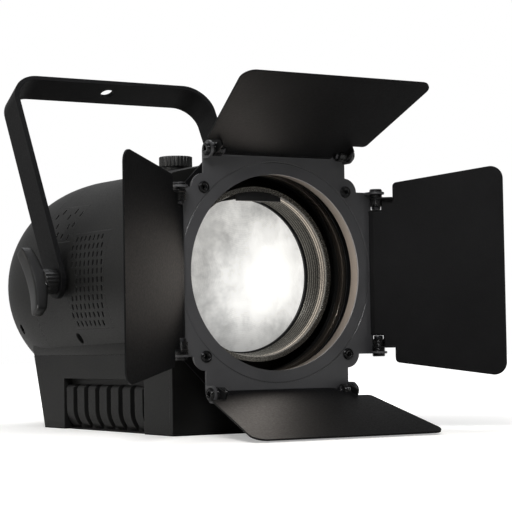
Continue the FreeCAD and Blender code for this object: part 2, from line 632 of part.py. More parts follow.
def put_on_hinge(label, thing, angle, reach, opened):
    """Places a piece drawn about its hinge at one side of the seated plate."""
    head = Placement(Vector(0, -number("base_length / 2 + plate_lead"), number("axis_height")),
                     Rotation())
    thing.Placement = head * about_axis(angle, reach) * Placement(Vector(), opened)
    subpart(label, thing)


# ---------------------------------------------------------------- lens carriage
RODS = (("upper", "-rod_place * cos(45)", "rod_place * cos(45)"),
        ("lower", "rod_place * cos(45)", "-rod_place * cos(45)"))


def lens_carriage():
    front, rear = "tube_front", "tube_front + tube_length"
    outer, bore, lens = "tube_radius", "tube_bore", "lens_radius"
    # Anti-glare ribs run from behind the rim to the lens.
    ribs = []
    for i in range(int(number("glare_count"))):
        crest = f"{bore} - glare_step * {i}"
        ribs += [(f"tube_front + glare_pitch * {i + 1}", crest),
                 (f"tube_front + glare_pitch * {i + 1} + 2.2", f"{crest} - glare_depth")]
    seat = "lens_front + lens_edge"
    outline = [(front, f"{outer} + 1"), (front, bore)] + ribs + [
        ("lens_front - 2.5", f"{lens} - 1.2"), ("lens_front - 2.5", f"{lens} + 0.1"),
        (seat, f"{lens} + 0.1"), (seat, f"{lens} - 4"), (f"{seat} + 3", f"{lens} - 4"),
        (f"{seat} + 3", bore), (rear, bore), (rear, outer), (f"{front} + 3", outer),
        (f"{front} + 3", f"{outer} + 1")]
    seat_on_axis("lens_tube", cut("tube_cut", revolve("tube_form", outline), [
        box("tube_top_notch", (-21, 21), ("tube_front + 5", "lens_front - 3"), (60, bore))]))
    # A curved stop plate fills the notch over the lens.
    block = box("stop_block", (-20.8, 20.8), ("tube_front + 5.2", "lens_front - 3.2"), (60, 80))
    arc = tube("stop_arc", f"{lens} - 2.6", f"{bore} - 0.2", ("tube_front", "lens_front"))
    seat_on_axis("lens_stop", common("stop_common", [block, arc]))

    curve = "((lens_radius - 3)^2 + lens_bulge^2) / (2 * lens_bulge)"
    glass = [("lens_front", lens), ("lens_front", f"{lens} - 3", curve, 1),
             ("lens_front - lens_bulge", "0"), (seat, "0"), (seat, lens)]
    seat_on_axis("lens", revolve("lens_form", glass))
    ring = tube("ring_form", f"{lens} - 2.9", lens, ("lens_front - 2.2", "lens_front"))
    seat_on_axis("lens_retainer", ring)

    plate = ("tube_front + tube_length", "tube_front + tube_length + carriage_plate")
    pieces = [rod("carriage_disc", "Y", "tube_radius + 3", plate)]
    holes = [rod("carriage_opening", "Y", "lens_radius - 4", (50, 300))]
    for tag, x, z in RODS:
        pieces.append(rod(f"carriage_ear_{tag}", "Y", "rod_radius + 4",
                          (plate[0], f"{plate[0]} + 14"), x=x, z=z))
        holes.append(rod(f"carriage_bore_{tag}", "Y", "rod_radius + pin_clearance", (50, 300),
                         x=x, z=z))
    for index, turn in enumerate((45, 225)):
        lug = doc.addObject("Part::Box", f"carriage_lug_{index}")
        bind(lug, Length="rod_place - lens_radius", Width="carriage_plate", Height=12)
        spin = Rotation(Vector(0, 1, 0), turn)
        lug.Placement = Placement(spin.multVec(Vector(number("lens_radius"), 0, -6))
                                  + Vector(0, number(plate[0]), 0), spin)
        pieces.append(lug)
    arm = ("-arm_width / 2", "arm_width / 2")
    pieces.append(box("arm_upright", arm, plate, (60, "arm_height + carriage_plate")))
    pieces.append(box("arm_bar", arm, (plate[0], "knob_place + 12"),
                      ("arm_height", "arm_height + carriage_plate")))
    pieces.append(rod("arm_boss", "Z", 8, ("arm_height - 4", "arm_height + carriage_plate + 4"),
                      y="knob_place"))
    holes.append(rod("arm_thread", "Z", "stem_radius + pin_clearance", (70, 110), y="knob_place"))
    seat_on_axis("carriage_frame", cut("carriage_cut", fuse("carriage_form", pieces), holes))

    foot = "top_flat_height + running_gap"
    knob = revolve("knob_form", [
        ("arm_height - 2", "0"), ("arm_height - 2", "stem_radius"), (foot, "stem_radius"),
        (foot, "collar_radius"), (f"{foot} + collar_height", "collar_radius - 1"),
        (f"{foot} + collar_height", "knob_radius - 1.5"),
        (f"{foot} + collar_height + 1.5", "knob_radius"),
        (f"{foot} + collar_height + knob_height - 1.5", "knob_radius"),
        (f"{foot} + collar_height + knob_height", "knob_radius - 1.5"),
        (f"{foot} + collar_height + knob_height", "0")], plane="YZ", axis="H_Axis")
    put(knob, 0, "knob_place - (base_length / 2 + plate_lead)", "axis_height",
        turn=Rotation(Vector(1, 0, 0), 90))
    subpart("zoom_knob", knob)
    for tag, x, z in RODS:
        seat_on_axis(f"guide_rod_{tag}",
                     rod(f"guide_{tag}", "Y", "rod_radius",
                         ("plate_lead + panel_thick", "bulkhead_place"), x=x, z=z))


# ---------------------------------------------------------------- light engine
def light_engine():
    start = "bulkhead_place"
    share = f"({start} - {CASING_START}) / (casing_end - {CASING_START})"
    inside = (f"casing_front_radius + (casing_rear_radius - casing_front_radius) * {share}"
              " - moulding_wall - running_gap")
    sheet_span = (start, f"{start} + steel_sheet")
    disc = cut("bulkhead_round", rod("bulkhead_disc", "Y", inside, sheet_span),
               [box("bulkhead_flat", (-60, 60), (0, 300),
                    ("top_flat_height - moulding_wall - running_gap", 120))])
    tools = [box("bulkhead_arm_gate", ("-arm_width / 2 - 2", "arm_width / 2 + 2"), (0, 300),
                 ("arm_height - 7", "casing_rear_radius"))]
    tools += [rod(f"bulkhead_vent_{i}", "Y", 5, (0, 300), x=f"90 * cos({a})", z=f"90 * sin({a})")
              for i, a in enumerate((15, 60, 120, 165, 195, 240, 300, 345))]
    seat_on_axis("bulkhead", cut("bulkhead_cut", disc, tools))
    board = rod("board", "Y", 30, (f"{start} - 2", start))
    seat_on_axis("led_board", board)
    dome = revolve("led_dome", [(f"{start} - 2", "0"), (f"{start} - 2", "14", "17.5", 1),
                                (f"{start} - 9", "0")])
    seat_on_axis("led_lens", dome)
    back = f"{start} + steel_sheet"
    hub = rod("sink_core", "Y", "sink_hub", (back, f"{back} + sink_length"))
    plate = rod("sink_plate", "Y", "sink_radius - 4", (back, f"{back} + 5"))
    count = int(number("fin_count"))
    fins = []
    for i in range(count):
        fin = doc.addObject("Part::Box", f"fin_{i}")
        bind(fin, Length="sink_radius", Width="sink_length", Height=1.6)
        turn = Rotation(Vector(0, 1, 0), 360 * i / count)
        fin.Placement = Placement(turn.multVec(Vector(0, 0, -0.8))
                                  + Vector(0, number(back), 0), turn)
        fins.append(fin)
    seat_on_axis("heat_sink", fuse("sink_form", [hub, plate] + fins))
    fan = f"{back} + sink_length"
    frame = box("fan_block", ("-fan_half", "fan_half"), (fan, f"{fan} + fan_depth"),
                ("-fan_half", "fan_half"))
    seat_on_axis("fan_frame", fuse("fan_form", [
        cut("fan_cut", frame, [rod("fan_hole", "Y", "fan_bore", (200, 400))]),
        box("fan_strut", ("-fan_bore - 1", "fan_bore + 1"),
            (f"{fan} + fan_depth - 3", f"{fan} + fan_depth"), (-3, 3)),
        rod("fan_motor", "Y", 15, (f"{fan} + fan_depth - 4", f"{fan} + fan_depth"))]))
    blades = [rod("rotor_hub", "Y", 16, (f"{fan} + 2", f"{fan} + fan_depth - 4.3"))]
    number_of_blades = int(number("blade_count"))
    for i in range(number_of_blades):
        blade = doc.addObject("Part::Box", f"blade_{i}")
        bind(blade, Length="fan_bore - 2", Width=15, Height=1.6)
        turn = Rotation(Vector(0, 1, 0), 360 * i / number_of_blades)
        lean = Rotation(Vector(1, 0, 0), 38)
        middle = Vector(0, number(fan) + number("fan_depth") / 2 - 2, 0)
        blade.Placement = Placement(middle, turn) * Placement(
            lean.multVec(Vector(0, -7.5, -0.8)), lean)
        blades.append(blade)
    seat_on_axis("fan_rotor", common("rotor_common", [
        fuse("rotor_form", blades), rod("rotor_space", "Y", "fan_bore - 1.5", (200, 400))]))


# ---------------------------------------------------------------- yoke and clamps
def yoke():
    half, high, bar = "yoke_half_width", "yoke_height", "yoke_bar"
    foot = "-yoke_width / 2"
    outline = [(f"-{half}", foot), (f"-{half} + {bar}", foot),
               (f"-{half} + {bar}", f"{high} - {bar}"),
               (f"{half} - {bar}", f"{high} - {bar}"), (f"{half} - {bar}", foot), (half, foot),
               (half, high), (f"-{half}", high)]
    body = pad("yoke_form", "XZ", outline, "yoke_width", middle=True)
    inner = number("yoke_half_width - yoke_bar")
    top = number("yoke_height")
    soften(body, "yoke_bend",
           lambda e: along("y")(e) and e.CenterOfMass.z > top - 1)
    soften(body, "yoke_bend - yoke_bar",
           lambda e: along("y")(e) and abs(e.CenterOfMass.z - top + number(bar)) < 1
           and abs(abs(e.CenterOfMass.x) - inner) < 1)
    low = -number("yoke_width") / 2
    soften(body, "yoke_width / 2 - 0.2", lambda e: along("x")(e) and e.CenterOfMass.z < low + 1)
    span = (f"-{half} - 1", f"{half} + 1")
    shape = cut("yoke_cut", body, [
        rod("yoke_pivot_hole", "X", "stud_radius + 2 * pin_clearance", span),
        rod("hanging_hole", "Z", "hanging_hole_radius", ("yoke_height - 20", "yoke_height + 5"))])
    put_on_pivot("yoke", shape, Rotation(Vector(1, 0, 0), -number("yoke_tilt")))


def put_on_pivot(label, thing, turn):
    """Places a piece drawn about the yoke's pivot."""
    place = Vector(0, number("pivot_place - base_length / 2 - plate_lead"), number("axis_height"))
    thing.Placement = Placement(place, turn)
    subpart(label, thing)


def clamps():
    inner = "yoke_half_width - yoke_bar"
    for tag, spin in (("right", 0), ("left", 180)):
        about = Rotation(Vector(0, 0, 1), spin)
        boss = revolve(f"boss_form_{tag}", [
            ("casing_front_radius - 7.5", "boss_radius + 4"),
            ("casing_front_radius - 3.5", "boss_radius + 4"),
            ("casing_front_radius - 3.5", "boss_radius"),
            (f"{inner} - washer_thick", "boss_radius"),
            (f"{inner} - washer_thick", "stud_radius + pin_clearance"),
            ("casing_front_radius - 5.5", "stud_radius + pin_clearance"),
            ("casing_front_radius - 5.5", "0"), ("casing_front_radius - 7.5", "0")],
            plane="XY", axis="H_Axis")
        put_on_pivot(f"pivot_boss_{tag}", boss, about)
        ring = tube(f"washer_form_{tag}", "stud_radius + 1", "boss_radius + 1",
                    (f"{inner} - washer_thick", inner), "X")
        put_on_pivot(f"friction_washer_{tag}", ring, about)
        put_on_pivot(f"clamp_handle_{tag}", handle(tag), Rotation(
            Vector(1, 0, 0), -number("yoke_tilt")) * about)


def handle(tag):
    """The clamp's stud, hub and wing lever, pointing outwards along X."""
    foot = "yoke_half_width"
    stem = revolve(f"handle_stem_{tag}", [
        ("casing_front_radius - 5", "0"), ("casing_front_radius - 5", "stud_radius"),
        (foot, "stud_radius"), (foot, "hub_radius + 2"), (f"{foot} + 2", "hub_radius + 2"),
        (f"{foot} + 2", "hub_radius"), (f"{foot} + hub_length", "hub_radius"),
        (f"{foot} + hub_length", "0")], plane="XY", axis="H_Axis")
    base, half = f"{foot} + hub_length", "lever_length / 2"
    outline = [(f"{base} - 3", "-10"), (f"{base} - 3", "10"),
               (f"{base} + lever_sweep", half), (f"{base} + lever_sweep + lever_thick - 5", half),
               (f"{base} + lever_thick - 3", "0"),
               (f"{base} + lever_sweep + lever_thick - 5", f"-{half}"),
               (f"{base} + lever_sweep", f"-{half}")]
    wing = pad(f"lever_{tag}", "XZ", outline, "lever_width", middle=True)
    reach = number(half)
    soften(wing, "lever_corner", lambda e: along("y")(e) and abs(abs(e.CenterOfMass.z) - reach) < 1)
    return fuse(f"handle_form_{tag}", [stem, wing])


# ---------------------------------------------------------------- electrics
def electrics():
    """The supply and control board in the base, and the sloping rear panel with its sockets."""
    low = "-axis_height + bottom_plate_thick"
    seat_on_axis("power_supply", box("supply_block", (-50, 50), (70, 230), (low, f"{low} + 26")))

    lift, drop = number("rear_rise"), number("axis_height - bottom_plate_thick - base_join_drop")
    slope = Rotation(Vector(1, 0, 0), -math.degrees(math.atan2(lift, drop)))
    high = number("panel_middle - bottom_plate_thick")
    centre = Vector(0, number("plate_lead + base_length - panel_inset") + lift * high / drop,
                    number("panel_middle - axis_height"))

    def on_panel(label, thing):
        """Seats a piece drawn on the panel: X across, Y outwards, Z up the slope."""
        head = Vector(0, -number("base_length / 2 + plate_lead"), number("axis_height"))
        thing = wrapped(thing)
        thing.Placement = Placement(head + centre, slope)
        subpart(label, thing)

    faces = []
    for i, label in enumerate(("power_inlet", "power_outlet", "signal_in", "signal_out")):
        x = f"-base_width / 2 + socket_margin + {i} * socket_pitch"
        flange = box(f"{label}_flange", (f"{x} - 12.5", f"{x} + 12.5"), (0, 1.6),
                     ("socket_height - 13", "socket_height + 13"))
        barrel = rod(f"{label}_barrel", "Y", "socket_radius - 1", (-18, 4), x=x,
                     z="socket_height")
        bore = rod(f"{label}_bore", "Y", "socket_radius - 3", (-12, 5), x=x,
                   z="socket_height")
        on_panel(label, cut(f"{label}_cut", fuse(f"{label}_form", [flange, barrel]), [bore]))
        faces.append(rod(f"{label}_gap", "Y", "socket_radius - 1 + seam_gap", (-30, 5), x=x,
                         z="socket_height"))
    window = box("window_block", ("base_width / 2 - display_margin - display_width",
                                  "base_width / 2 - display_margin"), (0, 1), (-23, -11))
    on_panel("display_window", window)
    for i, label in enumerate(("button_menu", "button_down", "button_up", "button_enter")):
        x = f"base_width / 2 - button_margin + {i} * button_pitch"
        on_panel(label, fuse(f"{label}_form", [
            rod(f"{label}_cap", "Y", "button_radius", (-3, 2), x=x, z="button_height"),
            rod(f"{label}_skirt", "Y", "button_radius + 1.2", (-4.6, -1.5), x=x,
                z="button_height")]))
        faces.append(rod(f"{label}_gap", "Y", "button_radius + pin_clearance", (-30, 5), x=x,
                         z="button_height"))
    plate = box("rear_plate_block", ("-base_width / 2 + moulding_wall + seam_gap",
                "base_width / 2 - moulding_wall - seam_gap"), (-1.5, 0),
                ("-panel_middle + 3", "-9.7"))
    on_panel("rear_panel", cut("rear_plate_cut", plate, faces))
    board = box("board_block", ("base_width / 2 - 51.5", "base_width / 2 - 5.5"), (-8, -6.4),
                (-37, -10))
    posts = [rod(f"board_post_{i}", "Y", 2, (-6.4, -1.5), x=x, z=z)
             for i, (x, z) in enumerate((("base_width / 2 - 49", -24),
                                         ("base_width / 2 - 6.5", -24)))]
    on_panel("control_board", fuse("board_form", [board] + posts))


def write_parts():
    doc.recompute()
    for thing in doc.Objects:
        if "Invalid" in thing.State or "Error" in thing.State:
            raise RuntimeError(f"{thing.Label} failed: {thing.State}")
    os.makedirs("parts", exist_ok=True)
    for thing in SUBPARTS:
        shape = thing.Shape
        if shape.isNull() or not shape.isValid():
            raise RuntimeError(f"{thing.Label} has no valid shape")
        shape.exportStep(f"parts/{thing.Label}.step")


casing_pieces()
front_panel()
base_pieces()
holder()
barn_plate()
leaves()
lens_carriage()
light_engine()
yoke()
clamps()
electrics()
write_parts()
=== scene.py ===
import bmesh
import bpy
import json
import math
from mathutils import Matrix, Vector


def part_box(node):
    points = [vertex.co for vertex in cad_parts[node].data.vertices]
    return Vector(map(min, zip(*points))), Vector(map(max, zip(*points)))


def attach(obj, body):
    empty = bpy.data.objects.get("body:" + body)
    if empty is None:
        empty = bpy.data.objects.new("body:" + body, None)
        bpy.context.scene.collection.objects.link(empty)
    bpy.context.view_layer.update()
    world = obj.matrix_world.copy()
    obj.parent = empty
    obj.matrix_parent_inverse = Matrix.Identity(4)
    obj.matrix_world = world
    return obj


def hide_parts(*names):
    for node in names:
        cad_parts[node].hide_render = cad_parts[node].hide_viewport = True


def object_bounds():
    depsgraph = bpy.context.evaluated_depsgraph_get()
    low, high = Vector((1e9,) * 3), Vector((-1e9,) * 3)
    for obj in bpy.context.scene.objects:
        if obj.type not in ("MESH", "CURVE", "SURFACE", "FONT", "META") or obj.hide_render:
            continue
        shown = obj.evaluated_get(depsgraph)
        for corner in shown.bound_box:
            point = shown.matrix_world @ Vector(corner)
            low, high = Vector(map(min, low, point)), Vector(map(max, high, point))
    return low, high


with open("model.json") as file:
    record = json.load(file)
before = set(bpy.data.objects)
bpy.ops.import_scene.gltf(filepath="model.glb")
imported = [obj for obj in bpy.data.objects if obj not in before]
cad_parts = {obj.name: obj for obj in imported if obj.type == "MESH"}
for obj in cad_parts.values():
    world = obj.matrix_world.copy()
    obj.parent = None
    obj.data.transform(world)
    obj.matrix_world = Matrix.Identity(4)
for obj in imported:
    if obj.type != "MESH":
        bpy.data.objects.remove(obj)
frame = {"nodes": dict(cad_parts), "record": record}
cad_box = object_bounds()
nodes = frame["nodes"]


# ---- Studio: white floor, soft lamps and the camera
# A white sweep with a painted shadow round the lamp's foot, three soft boxes and a long lens from
# the left, a little below the lens.
# None of it is part of the lamp itself.
def from_hex(text):
    """An sRGB hex colour as linear RGBA."""
    parts = [int(text[i:i + 2], 16) / 255 for i in (1, 3, 5)]
    return [p / 12.92 if p <= 0.04045 else ((p + 0.055) / 1.055) ** 2.4 for p in parts] + [1.0]


def add_node(tree, kind, links=(), **settings):
    """Adds one node with its settings; links pairs an input with a socket or a value."""
    made = tree.nodes.new(kind)
    for name, value in settings.items():
        setattr(made, name, value)
    for socket, value in dict(links).items():
        if isinstance(value, bpy.types.NodeSocket):
            tree.links.new(value, made.inputs[socket])
        else:
            made.inputs[socket].default_value = value
    return made


scene = bpy.context.scene
scene.view_settings.view_transform = "Standard"

camera = bpy.data.cameras.new("camera")
camera.lens, camera.sensor_width = 126.5625, 36
camera_place = (-0.8154, -1.5015, 0.0750)
camera.clip_start, camera.clip_end = 0.05, 40
eye = bpy.data.objects.new("camera", camera)
azimuth, elevation, roll = (math.radians(a) for a in (-30.807, -2.912, -0.937))
back = Vector((math.sin(azimuth) * math.cos(elevation),
               -math.cos(azimuth) * math.cos(elevation), math.sin(elevation)))
right = Vector((math.cos(azimuth), math.sin(azimuth), 0))
up = back.cross(right)
across = math.cos(roll) * right + math.sin(roll) * up
upward = math.cos(roll) * up - math.sin(roll) * right
eye.matrix_world = Matrix.Translation(camera_place) @ Matrix(
    (across, upward, back)).transposed().to_4x4()
scene.collection.objects.link(eye)
scene.camera = eye


def soft_box(name, place, target, size, power, colour):
    lamp = bpy.data.lights.new(name, "AREA")
    lamp.shape, lamp.size, lamp.size_y = "RECTANGLE", *size
    lamp.energy, lamp.color = power, from_hex(colour)[:3]
    made = bpy.data.objects.new(name, lamp)
    made.location = place
    made.rotation_euler = (Vector(target) - Vector(place)).to_track_quat("-Z", "Y").to_euler()
    scene.collection.objects.link(made)


middle = (cad_box[0] + cad_box[1]) / 2
soft_box("key_box", (-0.9, -1.3, 1.1), middle, (0.5, 0.5), 19, "#ffffff")
soft_box("top_box", (0.1, 0.3, 2.0), middle, (1.6, 1.6), 20, "#fbfcff")
soft_box("side_box", (-2.1, 0.4, 0.45), middle, (1.0, 0.8), 6.5, "#fffaf2")

# The lamp's own beam, a warm disc just in front of the lens that only lights what it faces.
lens_low, lens_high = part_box("lens")
beam = bpy.data.lights.new("beam", "AREA")
beam.shape, beam.size, beam.energy = "DISK", 0.12, 0.16
beam.color = from_hex("#fff4ea")[:3]
beam_gap = 0.011
beam_disc = bpy.data.objects.new("beam", beam)
beam_disc.location = ((lens_low.x + lens_high.x) / 2, lens_low.y - beam_gap,
                      (lens_low.z + lens_high.z) / 2)
beam_disc.rotation_euler = (-math.pi / 2, 0, 0)
beam_disc.visible_camera = False
scene.collection.objects.link(beam_disc)

sky = bpy.data.worlds.new("studio")
scene.world = sky
sky.use_nodes = True
tree = sky.node_tree
tree.nodes.clear()
path = add_node(tree, "ShaderNodeLightPath")
ahead = add_node(tree, "ShaderNodeSeparateXYZ",
                 {"Vector": add_node(tree, "ShaderNodeTexCoord").outputs["Generated"]})
sweep = add_node(tree, "ShaderNodeMapRange", {"Value": ahead.outputs["Y"], "From Min": -0.1,
                                              "From Max": 0.6, "To Min": 0.1, "To Max": 0.5})
dim = add_node(tree, "ShaderNodeBackground", {"Color": sweep.outputs["Result"], "Strength": 1.0})
bright = add_node(tree, "ShaderNodeBackground", {"Color": sweep.outputs["Result"],
                                                 "Strength": 1.0})
white = add_node(tree, "ShaderNodeBackground", {"Color": from_hex("#ffffff"), "Strength": 1.0})
mirrored = add_node(tree, "ShaderNodeMath", {0: path.outputs["Is Glossy Ray"],
                                             1: path.outputs["Is Transmission Ray"]},
                    operation="MAXIMUM")
seen = add_node(tree, "ShaderNodeMixShader", {0: mirrored.outputs[0], 1: dim.outputs[0],
                                              2: bright.outputs[0]})
shown = add_node(tree, "ShaderNodeMixShader", {0: path.outputs["Is Camera Ray"],
                                               1: seen.outputs[0], 2: white.outputs[0]})
add_node(tree, "ShaderNodeOutputWorld", {"Surface": shown.outputs[0]})

bpy.ops.object.select_all(action="DESELECT")
bpy.ops.mesh.primitive_plane_add(size=16, location=(0, 0, cad_box[0].z))
floor = bpy.context.object
floor.name = "floor"
paper = bpy.data.materials.new("white_paper_sweep")
paper.use_nodes = True
tree = paper.node_tree
tree.nodes.clear()
path = add_node(tree, "ShaderNodeLightPath")
matt = add_node(tree, "ShaderNodeBsdfDiffuse", {"Color": from_hex("#f2f1ee")})
away = add_node(tree, "ShaderNodeVectorMath", {
    0: add_node(tree, "ShaderNodeTexCoord").outputs["Object"]}, operation="LENGTH")
# Camera rays see the floor lifted to white, but less near the lamp: a painted shadow round its
# foot that fades out by 0.8 m.
painted_shadow_fade = add_node(tree, "ShaderNodeMapRange", {"Value": away.outputs["Value"], "From Min": 0.25,
                                            "From Max": 0.8, "To Min": 0.32, "To Max": 1.0})
lift = add_node(tree, "ShaderNodeEmission", {"Color": from_hex("#ffffff"),
                                             "Strength": painted_shadow_fade.outputs[0]})
glow = add_node(tree, "ShaderNodeMixShader", {0: path.outputs["Is Camera Ray"]})
tree.links.new(add_node(tree, "ShaderNodeEmission", {"Strength": 0.0}).outputs[0],
               glow.inputs[1])
tree.links.new(lift.outputs[0], glow.inputs[2])
both = add_node(tree, "ShaderNodeAddShader", {0: matt.outputs[0], 1: glow.outputs[0]})
add_node(tree, "ShaderNodeOutputMaterial", {"Surface": both.outputs[0]})
floor.data.materials.append(paper)


# ---- Casing, dome, front panel and base: moulded ABS
# Injection moulded in black ABS with a fine spark-eroded grain, screwed together on bosses.
# The grain breaks the shine into a soft satin, and handled edges are a little smoother; their
# lighter tone is a painted highlight.
def surface(name, dark, light, painted_edge_tone, rough, grain, depth, metal=0.0, level=0.5, edge=0.0007):
    """A coated or moulded surface: two close tones in soft clouds, a fine raised grain, and
    rounded edges that are glossier and painted a lighter tone as a highlight. The grain's size and
    depth are in metres."""
    made = bpy.data.materials.new(name)
    made.use_nodes = True
    tree = made.node_tree
    tree.nodes.clear()
    place = add_node(tree, "ShaderNodeTexCoord").outputs["Object"]
    cloud = add_node(tree, "ShaderNodeTexNoise", {"Vector": place, "Scale": 16.0,
                                                  "Detail": 5.0, "Roughness": 0.62})
    fine = add_node(tree, "ShaderNodeTexNoise", {"Vector": place, "Scale": 1 / grain,
                                                 "Detail": 3.0, "Roughness": 0.6})
    rounded = add_node(tree, "ShaderNodeBevel", {"Radius": edge}, samples=4)
    raised = add_node(tree, "ShaderNodeBump", {"Height": fine.outputs["Fac"], "Strength": 0.6,
                                               "Distance": depth,
                                               "Normal": rounded.outputs[0]})
    plain = add_node(tree, "ShaderNodeNewGeometry").outputs["Normal"]
    turn = add_node(tree, "ShaderNodeVectorMath", {0: rounded.outputs[0], 1: plain},
                    operation="DOT_PRODUCT")
    # The edge mask from the rounded normals: there the colour goes to a painted highlight tone and
    # the roughness drops.
    edge_highlight_mask = add_node(tree, "ShaderNodeMapRange", {
        "Value": turn.outputs["Value"], "From Min": 0.99, "From Max": 0.9, "To Max": 0.75})
    edge_highlight_and_gloss = add_node(tree, "ShaderNodeMath", {0: edge_highlight_mask.outputs[0], 1: cloud.outputs["Fac"]},
                     operation="MULTIPLY")
    tone = add_node(tree, "ShaderNodeMapRange", {"Value": cloud.outputs["Fac"],
                                                 "From Min": 0.36, "From Max": 0.64})
    base = add_node(tree, "ShaderNodeMix", {0: tone.outputs[0], 6: from_hex(dark),
                                            7: from_hex(light)}, data_type="RGBA")
    colour = add_node(tree, "ShaderNodeMix", {0: edge_highlight_and_gloss.outputs[0], 6: base.outputs[2],
                                              7: from_hex(painted_edge_tone)}, data_type="RGBA")
    smear = add_node(tree, "ShaderNodeMapRange", {
        "Value": fine.outputs["Fac"], "From Min": 0.3, "From Max": 0.7,
        "To Min": rough - 0.05, "To Max": rough + 0.07})
    gloss = add_node(tree, "ShaderNodeMath", {0: smear.outputs[0], 1: edge_highlight_and_gloss.outputs[0]},
                     operation="SUBTRACT", use_clamp=True)
    body = add_node(tree, "ShaderNodeBsdfPrincipled", {
        "Base Color": colour.outputs[2], "Roughness": gloss.outputs[0], "Metallic": metal,
        "Specular IOR Level": level, "Normal": raised.outputs[0]})
    add_node(tree, "ShaderNodeOutputMaterial", {"Surface": body.outputs[0]})
    return made


def dress(material, *names):
    """Gives CAD nodes a material; the nodes keep their shape."""
    for name in names:
        for slot in nodes[name].material_slots:
            slot.material = material


moulded_abs = surface("moulded_abs", "#131313", "#181817", "#2b2b2b", 0.46, 0.0014, 0.00014,
                      level=0.16)
dress(moulded_abs, "casing_shell", "rear_dome", "front_panel", "base_tray",
      "vent_grille_left", "vent_grille_right", "exhaust_grille")

# ---- Sheet metal: base plate, accessory holder, yoke, rear panel and barn-door leaves
# Laser-cut and folded steel sheet with a satin black powder coat.
# Powder melts into a fine orange peel, whose 0.5 mm grain is drawn at 1.8 mm so that it shows.
powder_coat = surface("powder_coated_steel", "#0c0c0d", "#111112", "#303030", 0.5, 0.0018,
                      0.00016, level=0.09)
dress(powder_coat, "base_plate", "accessory_holder", "yoke", "rear_panel",
      "leaf_top", "leaf_right", "leaf_bottom", "leaf_left", "plate_clips")

# ---- Barn-door plate
# The same powder coat as the leaves, on a flat pressed plate, but painted a lighter grey: a
# painted sheen for the lamps that it faces square on.
plate_coat_painted_sheen = surface("matt_powder_coated_plate", "#343436", "#3e3e40", "#545454", 0.44, 0.0016,
                     0.00016, level=0.6)
dress(plate_coat_painted_sheen, "barn_door_plate")

# ---- Lens tube, barrel and mount: turned aluminium
# Anodised, and left glossy inside. The tube is painted a light grey and the barrel and mount a
# warm brown: painted light for the glow of the lens along the anti-glare rings of the tube and
# round the wall of the barrel.
tube_with_painted_glow = surface("glossy_anodised_tube", "#83817d", "#908e8a", "#a8a6a0", 0.26, 0.0011, 0.00001,
                 0.9, edge=0.0002)
dress(tube_with_painted_glow, "lens_tube")

# The ribs' flanks that look back at the lens are painted light for its glow, and the grooves
# before them painted dark as shade.
rib_pitch = 0.003
rib_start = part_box("lens_tube")[0].y + rib_pitch
tree = tube_with_painted_glow.node_tree
along = add_node(tree, "ShaderNodeSeparateXYZ",
                 {"Vector": add_node(tree, "ShaderNodeTexCoord").outputs["Object"]})
counted = add_node(tree, "ShaderNodeMapRange", {
    "Value": along.outputs["Y"], "From Min": rib_start, "From Max": rib_start + rib_pitch},
    clamp=False)
within = add_node(tree, "ShaderNodeMath", {0: counted.outputs[0]}, operation="FRACT")
painted_rib_highlight = add_node(tree, "ShaderNodeValToRGB", {"Fac": within.outputs[0]})
for stop, position, tone in zip(painted_rib_highlight.color_ramp.elements, (0.35, 0.62),
                                ("#1f1f1e", "#d8d6d0")):
    stop.position, stop.color = position, from_hex(tone)
rib_highlight_and_shade = add_node(tree, "ShaderNodeMix", {0: 0.85, 7: painted_rib_highlight.outputs["Color"]}, data_type="RGBA",
                 blend_type="MULTIPLY")
body = next(n for n in tree.nodes if n.bl_idname == "ShaderNodeBsdfPrincipled")
tree.links.new(body.inputs["Base Color"].links[0].from_socket, rib_highlight_and_shade.inputs[6])
tree.links.new(rib_highlight_and_shade.outputs[2], body.inputs["Base Color"])

barrel_with_painted_glow = surface("glossy_anodised_barrel", "#4a4540", "#544e48", "#8d847a", 0.34, 0.0011,
                      0.00004, 0.8, edge=0.0004)
dress(barrel_with_painted_glow, "mount_ring", "barrel_ring")

# ---- Stop plate, retainer, carriage and bulkhead: matt anodised aluminium
# Cut and folded from sheet, and anodised a matt black that swallows stray light.
anodised = surface("matt_black_anodised_aluminium", "#202021", "#29292a", "#5a5a58", 0.5, 0.0011,
                   0.00008, 0.3, level=0.25)
dress(anodised, "lens_stop", "carriage_frame", "bulkhead", "lens_retainer")

# ---- Stop tab
# A tab of matt black anodised sheet across the top of the tube's mouth trims the lens's upper
# edge. It is cut round to the bore and held by the two ends of its arc.
axis_height, bore_radius, tab_place, tab_gauge = 0.140, 0.0733, -0.1335, 0.0020
tab_low, tab_left, tab_right = 0.2046, -0.0193, 0.0263
bpy.ops.object.select_all(action="DESELECT")
bpy.ops.mesh.primitive_cylinder_add(vertices=96, radius=bore_radius, depth=tab_gauge,
                                    location=(0, tab_place, axis_height),
                                    rotation=(math.pi / 2, 0, 0))
bpy.ops.object.transform_apply(location=True, rotation=True, scale=True)
stop_tab = bpy.context.object
bpy.ops.object.mode_set(mode="EDIT")
for corner, outwards in (((0, 0, tab_low), (0, 0, -1)), ((tab_left, 0, 0), (-1, 0, 0)),
                         ((tab_right, 0, 0), (1, 0, 0))):
    bpy.ops.mesh.select_all(action="SELECT")
    bpy.ops.mesh.bisect(plane_co=corner, plane_no=outwards, use_fill=True, clear_outer=True)
bpy.ops.mesh.select_all(action="SELECT")
bpy.ops.mesh.normals_make_consistent(inside=False)
bpy.ops.object.mode_set(mode="OBJECT")
softened = stop_tab.modifiers.new("softened", "BEVEL")
softened.width, softened.segments = 0.0003, 2
bpy.ops.object.modifier_apply(modifier="softened")
bpy.ops.object.shade_smooth_by_angle(angle=math.radians(35))
stop_tab.name = stop_tab.data.name = "stop_tab"
stop_tab.data.materials.append(anodised)
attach(stop_tab, "lens_carriage")

